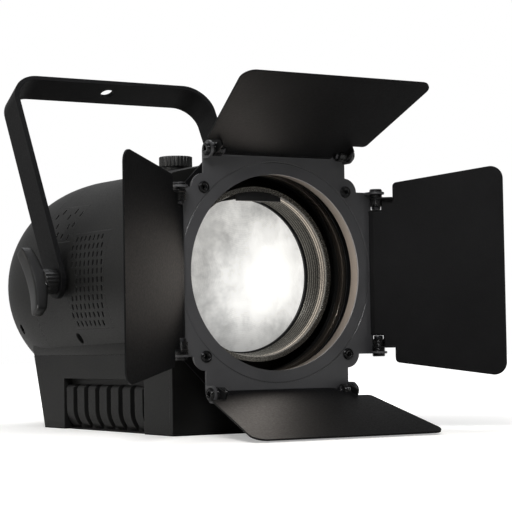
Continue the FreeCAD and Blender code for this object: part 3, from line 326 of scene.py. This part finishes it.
# ---- Light engine and supply
# An extruded aluminium sink with a white LED board, a fan in black PBT and a boxed supply.
mill_aluminium = surface("mill_finish_aluminium", "#8f8f90", "#a3a3a4", "#c9c9c9", 0.34,
                         0.0009, 0.00004, 1.0)
dress(mill_aluminium, "heat_sink", "power_supply")
solder_mask = surface("white_solder_mask", "#d9d9d4", "#e4e4df", "#f0f0ee", 0.4, 0.001, 0.00003)
dress(solder_mask, "led_board", "led_lens")
green_mask = surface("green_solder_mask", "#0f3a22", "#14482b", "#2c6a48", 0.35, 0.001, 0.00003)
dress(green_mask, "control_board")
fan_plastic = surface("moulded_pbt", "#141415", "#1a1a1b", "#303030", 0.55, 0.0012, 0.0001)
dress(fan_plastic, "fan_frame", "fan_rotor")

# ---- Fittings: clamps, knob, buttons, sockets and screws
# Glass-filled nylon for what the hand turns, zinc and black oxide for the fixings.
filled_nylon = surface("glass_filled_nylon", "#121212", "#181818", "#2c2c2c", 0.36, 0.001,
                       0.0001)
dress(filled_nylon, "clamp_handle_left", "clamp_handle_right", "zoom_knob", "pivot_boss_left",
      "pivot_boss_right", "power_inlet", "power_outlet")
black_oxide = surface("black_oxide_steel", "#161617", "#1f1f20", "#6d6d6d", 0.26, 0.0008,
                      0.00004, 0.8)
dress(black_oxide, "clip_screws", "hinge_bolts_top", "hinge_bolts_right",
      "hinge_bolts_bottom", "hinge_bolts_left")
zinc = surface("zinc_plated_steel", "#8d8c8a", "#a9a8a5", "#d2d2d0", 0.28, 0.0008, 0.00003, 1.0)
dress(zinc, "guide_rod_upper", "guide_rod_lower", "signal_in", "signal_out", "hinge_nuts_top",
      "hinge_nuts_right", "hinge_nuts_bottom", "hinge_nuts_left")
soft_rubber = surface("soft_rubber", "#121212", "#191919", "#242424", 0.7, 0.0012, 0.00008)
dress(soft_rubber, "friction_washer_left", "friction_washer_right", "button_menu",
      "button_down", "button_up", "button_enter")
smoked = surface("smoked_acrylic", "#0a0a0b", "#0e0e10", "#202022", 0.12, 0.002, 0.00001)
dress(smoked, "display_window")


# ---- Joint skirt
# A moulded ABS fillet on each side closes the step between the base and the round casing.
# It is one strip with a drawn-in top edge, welded along its inner side.
def pick(kind, test):
    """In edit mode, selects just those faces, edges or vertices that the test picks."""
    bpy.ops.mesh.select_mode(type={"faces": "FACE", "edges": "EDGE", "verts": "VERT"}[kind])
    bpy.ops.mesh.select_all(action="DESELECT")
    mesh = bmesh.from_edit_mesh(bpy.context.object.data)
    for part in getattr(mesh, kind):
        if test(part):
            part.select_set(True)
    mesh.select_flush_mode()
    bmesh.update_edit_mesh(bpy.context.object.data)


def cylinder(radius, depth, centre, turn=(0, 0, 0), sides=32):
    """A cylinder with its place in its mesh, open in edit mode to be shaped."""
    bpy.ops.object.select_all(action="DESELECT")
    bpy.ops.mesh.primitive_cylinder_add(vertices=sides, radius=radius, depth=depth,
                                        location=centre, rotation=turn)
    bpy.ops.object.transform_apply(location=True, rotation=True, scale=True)
    bpy.ops.object.mode_set(mode="EDIT")
    return bpy.context.object


def push(distance, along):
    """Extrudes the selected faces."""
    bpy.ops.mesh.extrude_region_move(
        TRANSFORM_OT_translate={"value": tuple(distance * Vector(along))})


def round_off(piece, width, angle=35, steps=2):
    """Leaves edit mode, rounds the sharp edges and smooths the rest."""
    bpy.ops.mesh.select_all(action="SELECT")
    bpy.ops.mesh.remove_doubles(threshold=0.00001)
    bpy.ops.mesh.normals_make_consistent(inside=False)
    bpy.ops.object.mode_set(mode="OBJECT")
    rounding = piece.modifiers.new("rounding", "BEVEL")
    rounding.width, rounding.segments = width, steps
    rounding.limit_method, rounding.angle_limit = "ANGLE", math.radians(angle)
    bpy.ops.object.modifier_apply(modifier="rounding")
    bpy.ops.object.shade_smooth_by_angle(angle=math.radians(angle))


def hand_over(piece, name, material, body, slot, *stands_for):
    """Names a finished piece, paints it and fixes it to its body."""
    piece.name = piece.data.name = name
    if material:
        piece.data.materials.clear()
        piece.data.materials.append(material)
    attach(piece, body)
    if stands_for:
        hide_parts(*stands_for)


skirt_foot, skirt_top, skirt_out, skirt_in = 0.0705, 0.0813, 0.0855, 0.0790
skirt_middle, skirt_length, skirt_splay, skirt_sweep = 0.0155, 0.285, 0.0006, 0.002
for side, sign in (("left", -1), ("right", 1)):
    bpy.ops.object.select_all(action="DESELECT")
    bpy.ops.mesh.primitive_cube_add(size=1, location=(
        sign * (skirt_out + skirt_in) / 2, skirt_middle, (skirt_foot + skirt_top) / 2))
    skirt = bpy.context.object
    skirt.scale = (skirt_out - skirt_in, skirt_length, skirt_top - skirt_foot)
    bpy.ops.object.transform_apply(location=True, rotation=True, scale=True)
    bpy.ops.object.mode_set(mode="EDIT")
    pick("verts", lambda v: v.co.z > skirt_top - 0.001)
    bpy.ops.transform.translate(value=(sign * skirt_splay, 0, 0))
    pick("verts", lambda v: v.co.y > skirt_middle and v.co.z > skirt_top - 0.001)
    bpy.ops.transform.translate(value=(0, skirt_sweep, 0))
    round_off(skirt, 0.0004)
    hand_over(skirt, f"joint_skirt_{side}", moulded_abs, "housing", "black_plastic")

# ---- Vent shade sheets
# Behind each field of vents a curved sheet of black powder-coated steel hides the works: a dark
# sheet that stands in for the shade inside the casing, with air passing its edges. One sheet
# stands before the bulkhead and one behind it.
gauge, shade_sheet_radius = 0.001, 0.0948
for side, sign in (("left", -1), ("right", 1)):
    for place, start, end, lowest, highest in (("front", -0.0425, 0.0640, -31, 38),
                                               ("rear", 0.0725, 0.1120, 14, 46)):
        shade_sheet = cylinder(shade_sheet_radius, end - start, (0, (start + end) / 2, axis_height),
                          (math.pi / 2, 0, 0), sides=120)
        pick("faces", lambda f: abs(f.normal.y) > 0.9 or not lowest < math.degrees(math.atan2(
            f.calc_center_median().z - axis_height, f.calc_center_median().x * sign)) < highest)
        bpy.ops.mesh.delete(type="FACE")
        bpy.ops.object.mode_set(mode="OBJECT")
        sheet_metal = shade_sheet.modifiers.new("sheet_metal", "SOLIDIFY")
        sheet_metal.thickness, sheet_metal.offset = gauge, -1
        bpy.ops.object.modifier_apply(modifier="sheet_metal")
        bpy.ops.object.mode_set(mode="EDIT")
        round_off(shade_sheet, 0.0002)
        hand_over(shade_sheet, f"vent_baffle_{side}_{place}", powder_coat, "housing", "black_steel")

# ---- Zoom knob
# A thumb-screw of glass-filled nylon that clamps the lens carriage through the slot in the top.
# Its rim is moulded with grip flutes, its top is dished, and a smooth collar sits under it.
low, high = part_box("zoom_knob")
knob_x, knob_y = (low.x + high.x) / 2, (low.y + high.y) / 2
rim, flute, grip_height = (high.x - low.x) / 2, 0.0006, 0.010
collar_radius, collar_height, stem_radius = 0.0125, 0.006, 0.004
knob = cylinder(rim - flute, grip_height, (knob_x, knob_y, high.z - grip_height / 2), sides=56)
pick("faces", lambda f: abs(f.normal.z) < 0.5
     and round(math.degrees(math.atan2(f.normal.y, f.normal.x)) / 360 * 56 - 0.5) % 2 == 0)
bpy.ops.mesh.inset(thickness=0.00035, depth=flute, use_individual=True)
pick("faces", lambda f: f.normal.z > 0.9)
bpy.ops.mesh.inset(thickness=0.0022, depth=0)
bpy.ops.mesh.inset(thickness=0.0007, depth=-0.0009)
pick("faces", lambda f: f.normal.z < -0.9)
bpy.ops.mesh.inset(thickness=rim - flute - collar_radius, depth=0)
push(collar_height, (0, 0, -1))
bpy.ops.mesh.inset(thickness=collar_radius - stem_radius, depth=0)
push(high.z - grip_height - collar_height - low.z, (0, 0, -1))
round_off(knob, 0.0003, 40)
hand_over(knob, "fluted_zoom_knob", filled_nylon, "zoom_knob", "black_plastic", "zoom_knob")

# ---- Clamp levers
# Each side is locked by a swept wing lever in glass-filled nylon on a fluted hub, moulded round
# a steel stud. The wing follows the yoke's arm, and its two ends lean outwards.
lever_length, lever_thick, lever_wide, lever_lean = 0.070, 0.0135, 0.0165, 0.0055
hub_radius, hub_depth, flute, stud_radius = 0.012, 0.0135, 0.0006, 0.005
tilt = math.radians(-30)
stud_end, arm_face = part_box("clamp_handle_right")[0].x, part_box("yoke")[1].x
grip_x = arm_face + hub_depth + lever_thick / 2 - 0.002

bpy.ops.object.select_all(action="DESELECT")
bpy.ops.mesh.primitive_cube_add(size=1, location=(grip_x, 0, 0))
wing = bpy.context.object
wing.scale = (lever_thick, lever_wide, lever_length)
bpy.ops.object.transform_apply(location=True, rotation=True, scale=True)
bpy.ops.object.mode_set(mode="EDIT")
for level in (-0.030, -0.020, -0.0085, 0.0085, 0.020, 0.030):
    bpy.ops.mesh.select_all(action="SELECT")
    bpy.ops.mesh.bisect(plane_co=(0, 0, level), plane_no=(0, 0, 1))
for level, lean, slim in ((0.020, 0.32, 0.97), (0.030, 0.75, 0.92), (0.035, 1.0, 0.8)):
    for sign in (-1, 1):
        pick("verts", lambda v: abs(v.co.z - sign * level) < 0.0005)
        bpy.ops.transform.translate(value=(lever_lean * lean, 0, 0))
        bpy.ops.transform.resize(value=(slim, slim, 1), center_override=(
            grip_x + lever_lean * lean, 0, sign * level))
pick("faces", lambda f: f.normal.x < -0.9 and abs(f.calc_center_median().z) < 0.006)
push(0.004, (-1, 0, 0))
pick("edges", lambda e: e.is_manifold and e.calc_face_angle(0) > math.radians(50))
bpy.ops.mesh.bevel(offset=0.0028, segments=3)
round_off(wing, 0.0008, 30)
soft = wing.modifiers.new("soft", "SUBSURF")
soft.levels = soft.render_levels = 1
bpy.ops.object.modifier_apply(modifier="soft")

hub = cylinder(hub_radius - flute, hub_depth, (arm_face + hub_depth / 2, 0, 0),
               (0, math.pi / 2, 0), sides=40)
pick("faces", lambda f: abs(f.normal.x) < 0.5
     and round(math.degrees(math.atan2(f.normal.z, f.normal.y)) / 9 - 0.5) % 2 == 0)
bpy.ops.mesh.inset(thickness=0.0003, depth=flute, use_individual=True)
pick("faces", lambda f: f.normal.x < -0.9)
bpy.ops.mesh.inset(thickness=hub_radius - flute - stud_radius, depth=0)
push(arm_face - stud_end, (-1, 0, 0))
round_off(hub, 0.0003, 40)
bpy.ops.object.select_all(action="DESELECT")
wing.select_set(True)
hub.select_set(True)
bpy.context.view_layer.objects.active = wing
bpy.ops.object.join()
for side, spin in (("right", 0.0), ("left", math.pi)):
    joint = next(j for j in frame["record"]["behaviour"]["joints"]
                 if j["name"] == f"clamp_{side}_turn")
    pivot = Vector(joint["pos_m"])
    lever = wing.copy()
    lever.data = wing.data.copy()
    scene.collection.objects.link(lever)
    lever.matrix_world = (Matrix.Translation((0, pivot.y, pivot.z))
                          @ Matrix.Rotation(tilt, 4, "X") @ Matrix.Rotation(spin, 4, "Z"))
    bpy.ops.object.select_all(action="DESELECT")
    lever.select_set(True)
    bpy.context.view_layer.objects.active = lever
    bpy.ops.object.transform_apply(location=True, rotation=True, scale=True)
    hand_over(lever, f"wing_lever_{side}", filled_nylon, f"clamp_{side}", "black_plastic",
              f"clamp_handle_{side}")
bpy.data.objects.remove(wing)

# ---- Plate screws
# Four M4 button-head screws in black oxide steel, turned down into the clips behind the plate.
# Each has a domed head with a hexagon socket, and a rolled thread.
def hex_socket(piece, radius, depth, face_centre, along):
    """Sinks a hexagon socket into a head that faces along an axis."""
    turn = Vector((0, 0, 1)).rotation_difference(Vector(along)).to_euler()
    cutter = cylinder(radius, depth * 2, face_centre, turn, sides=6)
    bpy.ops.object.mode_set(mode="OBJECT")
    bpy.ops.object.select_all(action="DESELECT")
    piece.select_set(True)
    bpy.context.view_layer.objects.active = piece
    sink = piece.modifiers.new("socket", "BOOLEAN")
    sink.object, sink.operation, sink.solver = cutter, "DIFFERENCE", "EXACT"
    bpy.ops.object.modifier_apply(modifier="socket")
    bpy.data.objects.remove(cutter)


def button_screw(head_radius, head_height, shank_radius, shank_length, pitch=0.001):
    """A button-head screw along X: its head reaches from 0 to +X and its shank to -X."""
    screw = cylinder(head_radius, head_height, (head_height / 2, 0, 0), (0, math.pi / 2, 0))
    pick("faces", lambda f: f.normal.x > 0.9)
    bpy.ops.mesh.inset(thickness=head_radius * 0.4, depth=0)
    pick("edges", lambda e: all(abs(v.co.x - head_height) < 1e-5 and
                                v.co.length > head_radius * 0.9 for v in e.verts))
    bpy.ops.mesh.bevel(offset=head_height * 0.7, segments=4)
    pick("faces", lambda f: f.normal.x < -0.9)
    bpy.ops.mesh.inset(thickness=head_radius - shank_radius * 0.86, depth=0)
    push(0.0006, (-1, 0, 0))
    for crest in range(int(shank_length / pitch)):
        for scale in (1.16, 1 / 1.16):
            push(pitch / 2, (-1, 0, 0))
            bpy.ops.transform.resize(value=(1, scale, scale))
    round_off(screw, 0.00012, 50, 1)
    hex_socket(screw, head_radius * 0.42, head_height * 0.62, (head_height, 0, 0), (1, 0, 0))
    return screw


def copy_to(piece, matrix):
    """A copy of a piece with its own mesh, turned and placed in that mesh."""
    made = piece.copy()
    made.data = piece.data.copy()
    scene.collection.objects.link(made)
    bpy.ops.object.select_all(action="DESELECT")
    made.matrix_world = matrix
    made.select_set(True)
    bpy.context.view_layer.objects.active = made
    bpy.ops.object.transform_apply(location=True, rotation=True, scale=True)
    return made


screws_low, screws_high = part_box("clip_screws")
middle_height = (screws_low.z + screws_high.z) / 2
head_radius, head_height = 0.0039, 0.0024
out = (screws_high.x - screws_low.x) / 2 - head_radius
front_face = screws_low.y + head_height
plate_screw = button_screw(head_radius, head_height, 0.0019, screws_high.y - front_face - 0.0006)
forwards = Matrix.Rotation(-math.pi / 2, 4, "Z")
for index, (sx, sz) in enumerate(((-1, -1), (1, -1), (1, 1), (-1, 1))):
    place = (out * sx, front_face, middle_height + out * sz)
    screw = copy_to(plate_screw, Matrix.Translation(place) @ forwards
                    @ Matrix.Rotation(0.4 * index, 4, "X"))
    hand_over(screw, f"plate_screw_{index}", black_oxide, "barn_door", "dark_steel",
              "clip_screws")
bpy.data.objects.remove(plate_screw)

# ---- Hinge bolts, springs and nuts
# Each leaf turns on two M4 button-head bolts. A washer lies in the hinge, and behind it a spring
# of hard steel wire, held by a nut, presses the leaf's ear so that the leaf stays where it is put.
ear, washer_at, washer_end, spring_at, nut_at = 0.072, 0.070, 0.0672, 0.0653, 0.060
wire, coil = 0.00052, 0.0029
bolt = button_screw(0.0043, 0.0026, 0.0019, 0.0152)
bolt.data.transform(Matrix.Translation((ear, 0, 0)))

washer = cylinder(0.0045, washer_at - washer_end, ((washer_at + washer_end) / 2, 0, 0),
                  (0, math.pi / 2, 0))
pick("faces", lambda f: abs(f.normal.x) > 0.9)
bpy.ops.mesh.inset(thickness=0.0006, depth=0.0002)
round_off(washer, 0.0002)

nut = cylinder(0.0042, 0.0034, (nut_at - 0.0018, 0, 0), (0, math.pi / 2, 0), sides=6)
pick("faces", lambda f: abs(f.normal.x) > 0.9)
bpy.ops.mesh.inset(thickness=0.0006, depth=0.0003)
round_off(nut, 0.0002)

bpy.ops.object.select_all(action="DESELECT")
bpy.ops.mesh.primitive_circle_add(vertices=8, radius=wire, location=(0, coil, 0),
                                  rotation=(0, math.pi / 2, 0))
bpy.ops.object.transform_apply(location=True, rotation=True, scale=True)
spring = bpy.context.object
turns = 4
winding = spring.modifiers.new("winding", "SCREW")
winding.axis, winding.angle, winding.iterations = "X", 2 * math.pi, turns
winding.steps = winding.render_steps = 18
winding.screw_offset = (spring_at - nut_at - 2 * wire) / turns
bpy.ops.object.modifier_apply(modifier="winding")
bpy.ops.object.mode_set(mode="EDIT")
pick("edges", lambda e: len(e.link_faces) == 1)
bpy.ops.mesh.edge_face_add()
bpy.ops.mesh.select_all(action="SELECT")
bpy.ops.mesh.normals_make_consistent(inside=False)
bpy.ops.object.mode_set(mode="OBJECT")
bpy.ops.object.shade_smooth_by_angle(angle=math.radians(50))
spring.data.transform(Matrix.Translation((nut_at + wire, 0, 0)))

spring_steel = surface("blued_spring_steel", "#2a2a2c", "#3b3b3d", "#8f8f8f", 0.28, 0.0008,
                       0.00002, 0.9)
for part, finish in ((bolt, black_oxide), (washer, black_oxide), (nut, spring_steel),
                     (spring, spring_steel)):
    part.data.materials.append(finish)
    part.select_set(True)
bpy.context.view_layer.objects.active = bolt
bpy.ops.object.join()
for side, angle in (("top", 0), ("right", 90), ("bottom", 180), ("left", 270)):
    joint = next(j for j in frame["record"]["behaviour"]["joints"]
                 if j["name"] == f"leaf_{side}_hinge")
    for tag, flip in (("a", 180), ("b", 0)):
        piece = copy_to(bolt, Matrix.Translation(joint["pos_m"])
                        @ Matrix.Rotation(math.radians(angle), 4, "Y")
                        @ Matrix.Rotation(math.radians(flip), 4, "Z"))
        hand_over(piece, f"hinge_set_{side}_{tag}", None, "barn_door", "dark_steel",
                  f"hinge_bolts_{side}", f"hinge_nuts_{side}")
bpy.data.objects.remove(bolt)

# ---- Leaf lips
# The inner edge of each leaf is folded on past the hinge line, so that no light leaks between
# the leaf and the plate. It is part of the same sheet and has the same powder coat.
lip_half, lip_start, lip_end, sheet = 0.0561, -0.0060, 0.0068, 0.0015
arm_half, arm_end = 0.0653, -0.0045
for side, angle, leaf_angle in (("top", 0, 27.5), ("right", 90, 50), ("bottom", 180, 17.5),
                                ("left", 270, 51)):
    joint = next(j for j in frame["record"]["behaviour"]["joints"]
                 if j["name"] == f"leaf_{side}_hinge")
    bpy.ops.object.select_all(action="DESELECT")
    bpy.ops.mesh.primitive_cube_add(size=1, location=(0, (lip_start + lip_end) / 2, 0))
    lip = bpy.context.object
    lip.scale = (2 * lip_half, lip_end - lip_start, sheet - 0.0001)
    bpy.ops.object.transform_apply(location=True, rotation=True, scale=True)
    bpy.ops.object.mode_set(mode="EDIT")
    pick("edges", lambda e: all(v.co.y > lip_end - 0.0001 for v in e.verts)
         and abs(e.verts[0].co.x - e.verts[1].co.x) < 0.0001)
    bpy.ops.mesh.bevel(offset=0.002, segments=3)
    bpy.ops.mesh.select_all(action="SELECT")
    bpy.ops.mesh.bisect(plane_co=(0, arm_end, 0), plane_no=(0, 1, 0))
    for sign in (1, -1):
        pick("faces", lambda f: f.normal.x * sign > 0.9 and f.calc_center_median().y < arm_end)
        push(arm_half - lip_half, (sign, 0, 0))
    round_off(lip, 0.0003)
    made = copy_to(lip, Matrix.Translation(joint["pos_m"])
                   @ Matrix.Rotation(math.radians(angle), 4, "Y")
                   @ Matrix.Rotation(-math.radians(leaf_angle), 4, "X"))
    hand_over(made, f"leaf_lip_{side}", powder_coat, f"leaf_{side}", "black_steel")
    bpy.data.objects.remove(lip)

# ---- Casing screws
# The two halves of the casing are held by cap screws, deep in moulded wells on both sides.
# Each well is a blind cup, given the black oxide finish.
well_radius, well_depth, wall = 0.0056, 0.007, 0.0012
for place, along_casing, up_casing, mouth in (("front", 0.0403, 0.0864, 0.0838),
                                              ("rear", 0.1662, 0.0972, 0.0885)):
    for side, sign in (("left", -1), ("right", 1)):
        well = cylinder(well_radius, well_depth, (mouth - well_depth / 2, 0, 0),
                        (0, math.pi / 2, 0))
        pick("faces", lambda f: f.normal.x > 0.9)
        bpy.ops.mesh.inset(thickness=wall, depth=0)
        push(well_depth - 0.0015, (-1, 0, 0))
        bpy.ops.mesh.inset(thickness=0.0008, depth=0)
        push(0.0022, (1, 0, 0))
        bpy.ops.mesh.inset(thickness=0.0012, depth=0)
        bpy.ops.mesh.inset(thickness=0.0001, depth=-0.0014)
        round_off(well, 0.00015)
        made = copy_to(well, Matrix.Translation((0, along_casing, up_casing))
                       @ Matrix.Rotation(0 if sign > 0 else math.pi, 4, "Z"))
        hand_over(made, f"screw_well_{place}_{side}", black_oxide, "housing", "black_plastic")
        bpy.data.objects.remove(well)

# ---- Socket inserts
# Each socket on the rear panel has a moulded insert with its contacts: three blades in a keyed
# ring for the power in and out, and three round pins or holes for the signal.
contact_brass = surface("nickel_plated_brass", "#9c9890", "#b4b0a8", "#d8d5cf", 0.25, 0.0008,
                        0.00002, 1.0)
outwards = -Vector(next(j for j in frame["record"]["behaviour"]["joints"]
                        if j["name"] == "menu_press")["axis"])
for index, socket in enumerate(("power_inlet", "power_outlet", "signal_in", "signal_out")):
    opening = next(o for o in frame["record"]["physics"]["openings"]
                   if o["name"] == socket + "_socket")
    centre = (Vector(opening["box_m"][0]) + Vector(opening["box_m"][1])) / 2
    insert = cylinder(0.0088, 0.0034, (-0.0062, 0, 0), (0, math.pi / 2, 0))
    pick("faces", lambda f: f.normal.x > 0.9)
    bpy.ops.mesh.inset(thickness=0.0011, depth=0)
    push(0.0009, (-1, 0, 0))
    bpy.ops.mesh.inset(thickness=0.0045, depth=0)
    push(0.0016 if index < 2 else 0.0007, (1, 0, 0))
    round_off(insert, 0.0002)
    insert.data.materials.append(filled_nylon)
    parts = [insert]
    for pin in range(3):
        about = 2 * math.pi * pin / 3 + math.pi / 2
        spot = (-0.0036, 0.0048 * math.cos(about), 0.0048 * math.sin(about))
        contact = cylinder(0.0011, 0.0038, spot, (0, math.pi / 2, 0), sides=16)
        pick("faces", lambda f: f.normal.x > 0.9)
        bpy.ops.mesh.inset(thickness=0.0004, depth=0.0003)
        if index < 2:
            bpy.ops.mesh.select_all(action="SELECT")
            bpy.ops.transform.resize(value=(1, 1.5, 0.45), center_override=spot)
        round_off(contact, 0.00015)
        contact.data.materials.append(contact_brass)
        parts.append(contact)
    bpy.ops.object.select_all(action="DESELECT")
    for part in parts:
        part.select_set(True)
    bpy.context.view_layer.objects.active = insert
    bpy.ops.object.join()
    made = copy_to(insert, Matrix.Translation(centre)
                   @ Vector((1, 0, 0)).rotation_difference(outwards).to_matrix().to_4x4())
    hand_over(made, f"{socket}_contacts", None, "housing", "black_plastic")
    bpy.data.objects.remove(insert)


# ---- Lens
# Pressed glass, plano-convex, with a stippled flat back that mixes the colours of the LEDs.
# The lamp burns behind it: bright in the middle, mottled grey where the stipple turns away.
def lit_glass():
    made = bpy.data.materials.new("pressed_lens_glass")
    made.use_nodes = True
    tree = made.node_tree
    tree.nodes.clear()
    place = add_node(tree, "ShaderNodeTexCoord").outputs["Object"]
    low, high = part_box("lens")
    centre = (low + high) / 2
    core = centre + Vector((0.030, 0, 0.002))
    moved = add_node(tree, "ShaderNodeMapping", {"Vector": place, "Location": -core})
    flat = add_node(tree, "ShaderNodeVectorMath", {0: moved.outputs[0], 1: (1, 0, 1)},
                    operation="MULTIPLY")
    reach = add_node(tree, "ShaderNodeVectorMath", {0: flat.outputs[0]}, operation="LENGTH")
    glow = add_node(tree, "ShaderNodeMapRange", {
        "Value": reach.outputs["Value"], "From Min": 0.004, "From Max": 0.088,
        "To Min": 1.18, "To Max": 0.44})
    stipple = add_node(tree, "ShaderNodeTexVoronoi", {"Vector": flat.outputs[0],
                                                      "Scale": 420.0}, feature="SMOOTH_F1")
    patch = add_node(tree, "ShaderNodeTexNoise", {"Vector": flat.outputs[0], "Scale": 24.0,
                                                  "Detail": 7.0, "Roughness": 0.68})
    shade = add_node(tree, "ShaderNodeMapRange", {"Value": patch.outputs["Fac"],
                                                  "From Min": 0.36, "From Max": 0.6,
                                                  "To Min": 0.5, "To Max": 1.0})
    veil = add_node(tree, "ShaderNodeMapRange", {
        "Value": reach.outputs["Value"], "From Min": 0.008, "From Max": 0.05})
    spread = add_node(tree, "ShaderNodeMapping", {"Vector": place, "Location": -centre})
    # The fine rings pressed into the face, drawn at 1.6 mm so that they show.
    rings = add_node(tree, "ShaderNodeTexWave", {"Vector": spread.outputs[0], "Scale": 196.0},
                     wave_type="RINGS", rings_direction="Y")
    ringed = add_node(tree, "ShaderNodeMapRange", {"Value": rings.outputs["Fac"],
                                                   "To Min": 0.9, "To Max": 1.0})
    cloudy = add_node(tree, "ShaderNodeMix", {0: veil.outputs[0], 2: 1.0, 3: shade.outputs[0]},
                      data_type="FLOAT")
    height = add_node(tree, "ShaderNodeSeparateXYZ", {"Vector": spread.outputs[0]})
    foot = add_node(tree, "ShaderNodeMapRange", {
        "Value": height.outputs["Z"], "From Min": -0.068, "From Max": -0.026,
        "To Min": 0.45, "To Max": 1.0}, interpolation_type="SMOOTHSTEP")
    mottled = add_node(tree, "ShaderNodeMath", {0: foot.outputs[0], 1: cloudy.outputs[0]},
                       operation="MULTIPLY")
    lit = add_node(tree, "ShaderNodeMath", {0: glow.outputs[0], 1: mottled.outputs[0]},
                   operation="MULTIPLY")
    power = add_node(tree, "ShaderNodeMath", {0: lit.outputs[0], 1: ringed.outputs[0]},
                     operation="MULTIPLY")
    raised = add_node(tree, "ShaderNodeBump", {"Height": stipple.outputs["Distance"],
                                               "Strength": 0.25, "Distance": 0.0004})
    tint = add_node(tree, "ShaderNodeMix", {0: cloudy.outputs[0], 6: from_hex("#6d7072"),
                                            7: from_hex("#a9abac")}, data_type="RGBA")
    body = add_node(tree, "ShaderNodeBsdfPrincipled", {
        "Base Color": tint.outputs[2], "Roughness": 0.35, "IOR": 1.5, "Coat Weight": 1.0,
        "Coat Roughness": 0.03, "Emission Color": from_hex("#fffdf8"),
        "Emission Strength": power.outputs[0], "Normal": raised.outputs[0]})
    add_node(tree, "ShaderNodeOutputMaterial", {"Surface": body.outputs[0]})
    return made


dress(lit_glass(), "lens")
